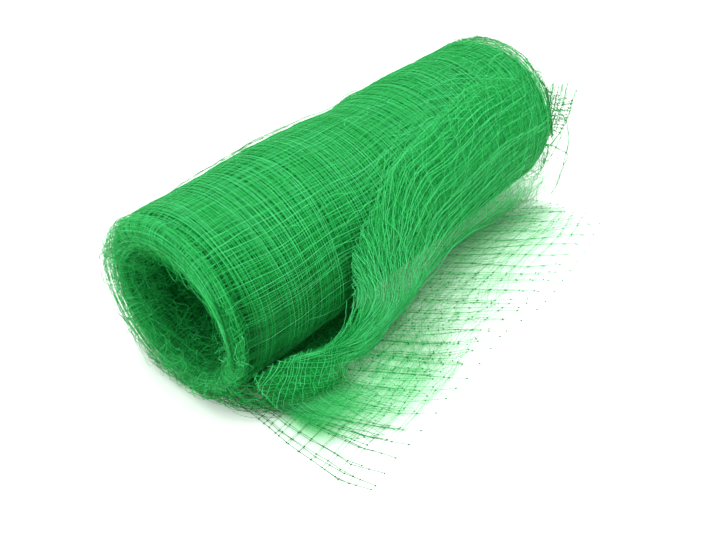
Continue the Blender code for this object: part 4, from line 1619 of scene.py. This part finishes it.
class OBJECT_OT_loose_flap(bpy.types.Operator):
    """Gather the loose flap over the roll's flank and lay its end on the floor"""

    bl_idname = "object.netting_loose_flap"
    bl_label = "Loose flap"

    def execute(self, context):
        sizes = context.scene.netting_sizes
        colours = context.scene.netting_colours
        surface = flap_surface()
        bundle = ThreadBundle(SEEDS["flap"], sizes)
        pleats = Wander(bundle.rng, (0.5, 1.6), 1)
        creases = Wander(bundle.rng, (0.15, 0.5), 3)
        rows = len(surface.points) - 1

        def pleated(row, column):
            """How far the gathered net stands off the flap's surface."""
            along, down = row / rows, column / HANG
            wave = np.sin(math.tau * (4.5 * down + 0.5 * pleats.at(along, down)))
            return (1.0 - smoothstep(0.75, 1.0, down)) * (0.9 * wave + 0.6 * creases.at(along, 2.0 * down))

        for layer in range(len(FLAP_LAYERS)):
            FlapLayer(bundle, surface, pleated, layer).lay()
        join(bundle, wound_form())
        hang_on(bundle, wound_form(), surface)
        row, column, height = smooth_line(BOWED_THREAD, 30).T[:, None]
        bundle.add(*surface.off(row, column, height), 0.8 * sizes.loose_thickness, 0.97, run=0.5)
        threads = bundle.piece("flap_threads", thread_finish("loose_thread", colours, 0.35, 0.45))
        # The first range is painted shade: a dark tint over the near end's upper part, where the gap behind
        # the open net lies in shade. The second is the haze of more layers near the foot.
        layers_and_painted_shade = (
            ((("X", 9.0, 5.0), ("Y", 11.0, 8.0)), 0.9, between(colours.deep, colours.thread, 0.08)),
            ((("X", 12.0, 8.0), ("Y", 9.0, 10.8)), 0.36, between(colours.thread, colours.light, 0.5)),
        )
        tints = [between(colours.deep, colours.thread, share) for share in (0.25, 0.8)]
        finish = veil_finish("flap_veil", tints, 0.35, 0.04, FLAP_HAZE, layers_and_painted_shade)
        begins = brim(np.linspace(0, rows, 113))[:, None]
        sheer = veil("loose_flap_net", surface, 113, 61, pleated, FLAP_MESHES, finish, begins)
        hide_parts("loose_flap")
        return {"FINISHED"}


class OBJECT_OT_floor_net(bpy.types.Operator):
    """Lay the lowest layers of the loose end on the floor, knot by knot"""

    bl_idname = "object.netting_floor_net"
    bl_label = "Floor net"

    def execute(self, context):
        colours = context.scene.netting_colours
        surface = floor_surface()
        bundle = ThreadBundle(SEEDS["floor"], context.scene.netting_sizes)
        for layer in range(len(FLOOR_LAYERS)):
            lay_floor_net(bundle, surface, layer)
        threads = bundle.piece("floor_threads", thread_finish("floor_thread", colours, 0.3, 0.45))
        shaded = [between(colours.deep, colours.thread, share) for share in (0.76, 0.42, 0.1)]
        # The three shaded tints are painted shade: a dark sheet near the roll, under the lip and in the gap
        # beside the flap, where shade falls. The last range is a paler haze near the roll further along.
        layers_and_painted_shade = (
            ((("X", 7.5, 4.5), ("X", 0.2, 2.0), ("Y", 9.5, 5.8)), 0.84, shaded[0]),
            ((("X", 15.0, 11.0), ("X", 1.5, 4.0), ("Y", 5.8, 3.2)), 1.0, shaded[1]),
            ((("X", 5.0, 3.0), ("Y", 3.4, 1.2)), 1.0, shaded[2]),
            ((("X", 12.0, 15.0), ("Y", 6.5, 3.5)), 0.32, between(colours.thread, colours.light, 0.3)),
        )
        tints = (colours.thread, colours.light)
        finish = veil_finish("floor_veil", tints, 0.17, 0.015, FLOOR_HAZE, layers_and_painted_shade)
        sheer = veil("floor_sheet_net", surface, 121, 45, lambda row, column: 0.0, FLOOR_MESHES, finish)
        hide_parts("floor_sheet")
        return {"FINISHED"}


def make_floor(colour):
    half = FLOOR_HALF
    mesh = bpy.data.meshes.new("studio_floor")
    corners = [(-half, -half, 0), (half, -half, 0), (half, half, 0), (-half, half, 0)]
    mesh.from_pydata(corners, [], [(0, 1, 2, 3)])
    mesh.materials.append(floor_finish(colour))
    floor = bpy.data.objects.new("studio_floor", mesh)
    bpy.context.collection.objects.link(floor)


def make_light(power):
    data = bpy.data.lights.new("key_light", "AREA")
    data.size = KEY_SIZE
    data.energy = power
    light = bpy.data.objects.new("key_light", data)
    light.location = KEY_PLACE
    light.rotation_euler = (-Vector(KEY_PLACE)).to_track_quat("-Z", "Y").to_euler()
    bpy.context.collection.objects.link(light)


def make_world(scene, strength):
    world = bpy.data.worlds.new("white_surround")
    world.use_nodes = True
    back = world.node_tree.nodes["Background"]
    feed(world.node_tree, back, {"Color": (1.0, 1.0, 1.0, 1.0), "Strength": strength})
    scene.world = world


def make_camera(scene, lens):
    data = bpy.data.cameras.new("camera")
    data.lens = lens
    data.sensor_width = 36.0
    camera = bpy.data.objects.new("camera", data)
    camera.location = CAMERA_PLACE
    camera.rotation_euler = Euler((0.5 * math.pi - CAMERA_DIP, 0.0, CAMERA_HEADING - 0.5 * math.pi))
    bpy.context.collection.objects.link(camera)
    scene.camera = camera


class OBJECT_OT_netting_stage(bpy.types.Operator):
    """Set the plain floor, the soft light and the camera"""

    bl_idname = "object.netting_stage"
    bl_label = "Stage"

    def execute(self, context):
        scene, settings = context.scene, context.scene.netting_stage
        make_floor(settings.floor_colour)
        make_light(settings.key_power)
        make_world(scene, settings.world_strength)
        make_camera(scene, settings.lens)
        scene.view_settings.view_transform = "Standard"
        return {"FINISHED"}


STEPS = (
    OBJECT_OT_packed_turns,
    OBJECT_OT_wound_turns,
    OBJECT_OT_mouth_tangle,
    OBJECT_OT_stray_threads,
    OBJECT_OT_floor_net,
    OBJECT_OT_loose_flap,
    OBJECT_OT_netting_stage,
)


class VIEW3D_PT_netting(bpy.types.Panel):
    """The netting's settings, and its operators in the order that they run in"""

    bl_label = "Bird netting roll"
    bl_idname = "VIEW3D_PT_netting"
    bl_space_type = "VIEW_3D"
    bl_region_type = "UI"
    bl_category = "Netting"

    def draw(self, context):
        scene = context.scene
        for settings in (scene.netting_sizes, scene.netting_colours, scene.netting_stage):
            box = self.layout.box()
            for name in settings.__annotations__:
                box.prop(settings, name)
        for step in STEPS:
            self.layout.operator(step.bl_idname)


CLASSES = (NettingSizes, NettingColours, StageSettings, *STEPS, VIEW3D_PT_netting)


def register():
    for each in CLASSES:
        bpy.utils.register_class(each)
    bpy.types.Scene.netting_sizes = bpy.props.PointerProperty(type=NettingSizes)
    bpy.types.Scene.netting_colours = bpy.props.PointerProperty(type=NettingColours)
    bpy.types.Scene.netting_stage = bpy.props.PointerProperty(type=StageSettings)


def unregister():
    del bpy.types.Scene.netting_stage
    del bpy.types.Scene.netting_colours
    del bpy.types.Scene.netting_sizes
    for each in reversed(CLASSES):
        bpy.utils.unregister_class(each)


def main():
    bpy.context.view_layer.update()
    register()
    bpy.ops.object.netting_packed_turns()
    bpy.ops.object.netting_wound_turns()
    bpy.ops.object.netting_mouth_tangle()
    bpy.ops.object.netting_stray_threads()
    bpy.ops.object.netting_floor_net()
    bpy.ops.object.netting_loose_flap()
    bpy.ops.object.netting_stage()


if __name__ == "__main__":
    main()
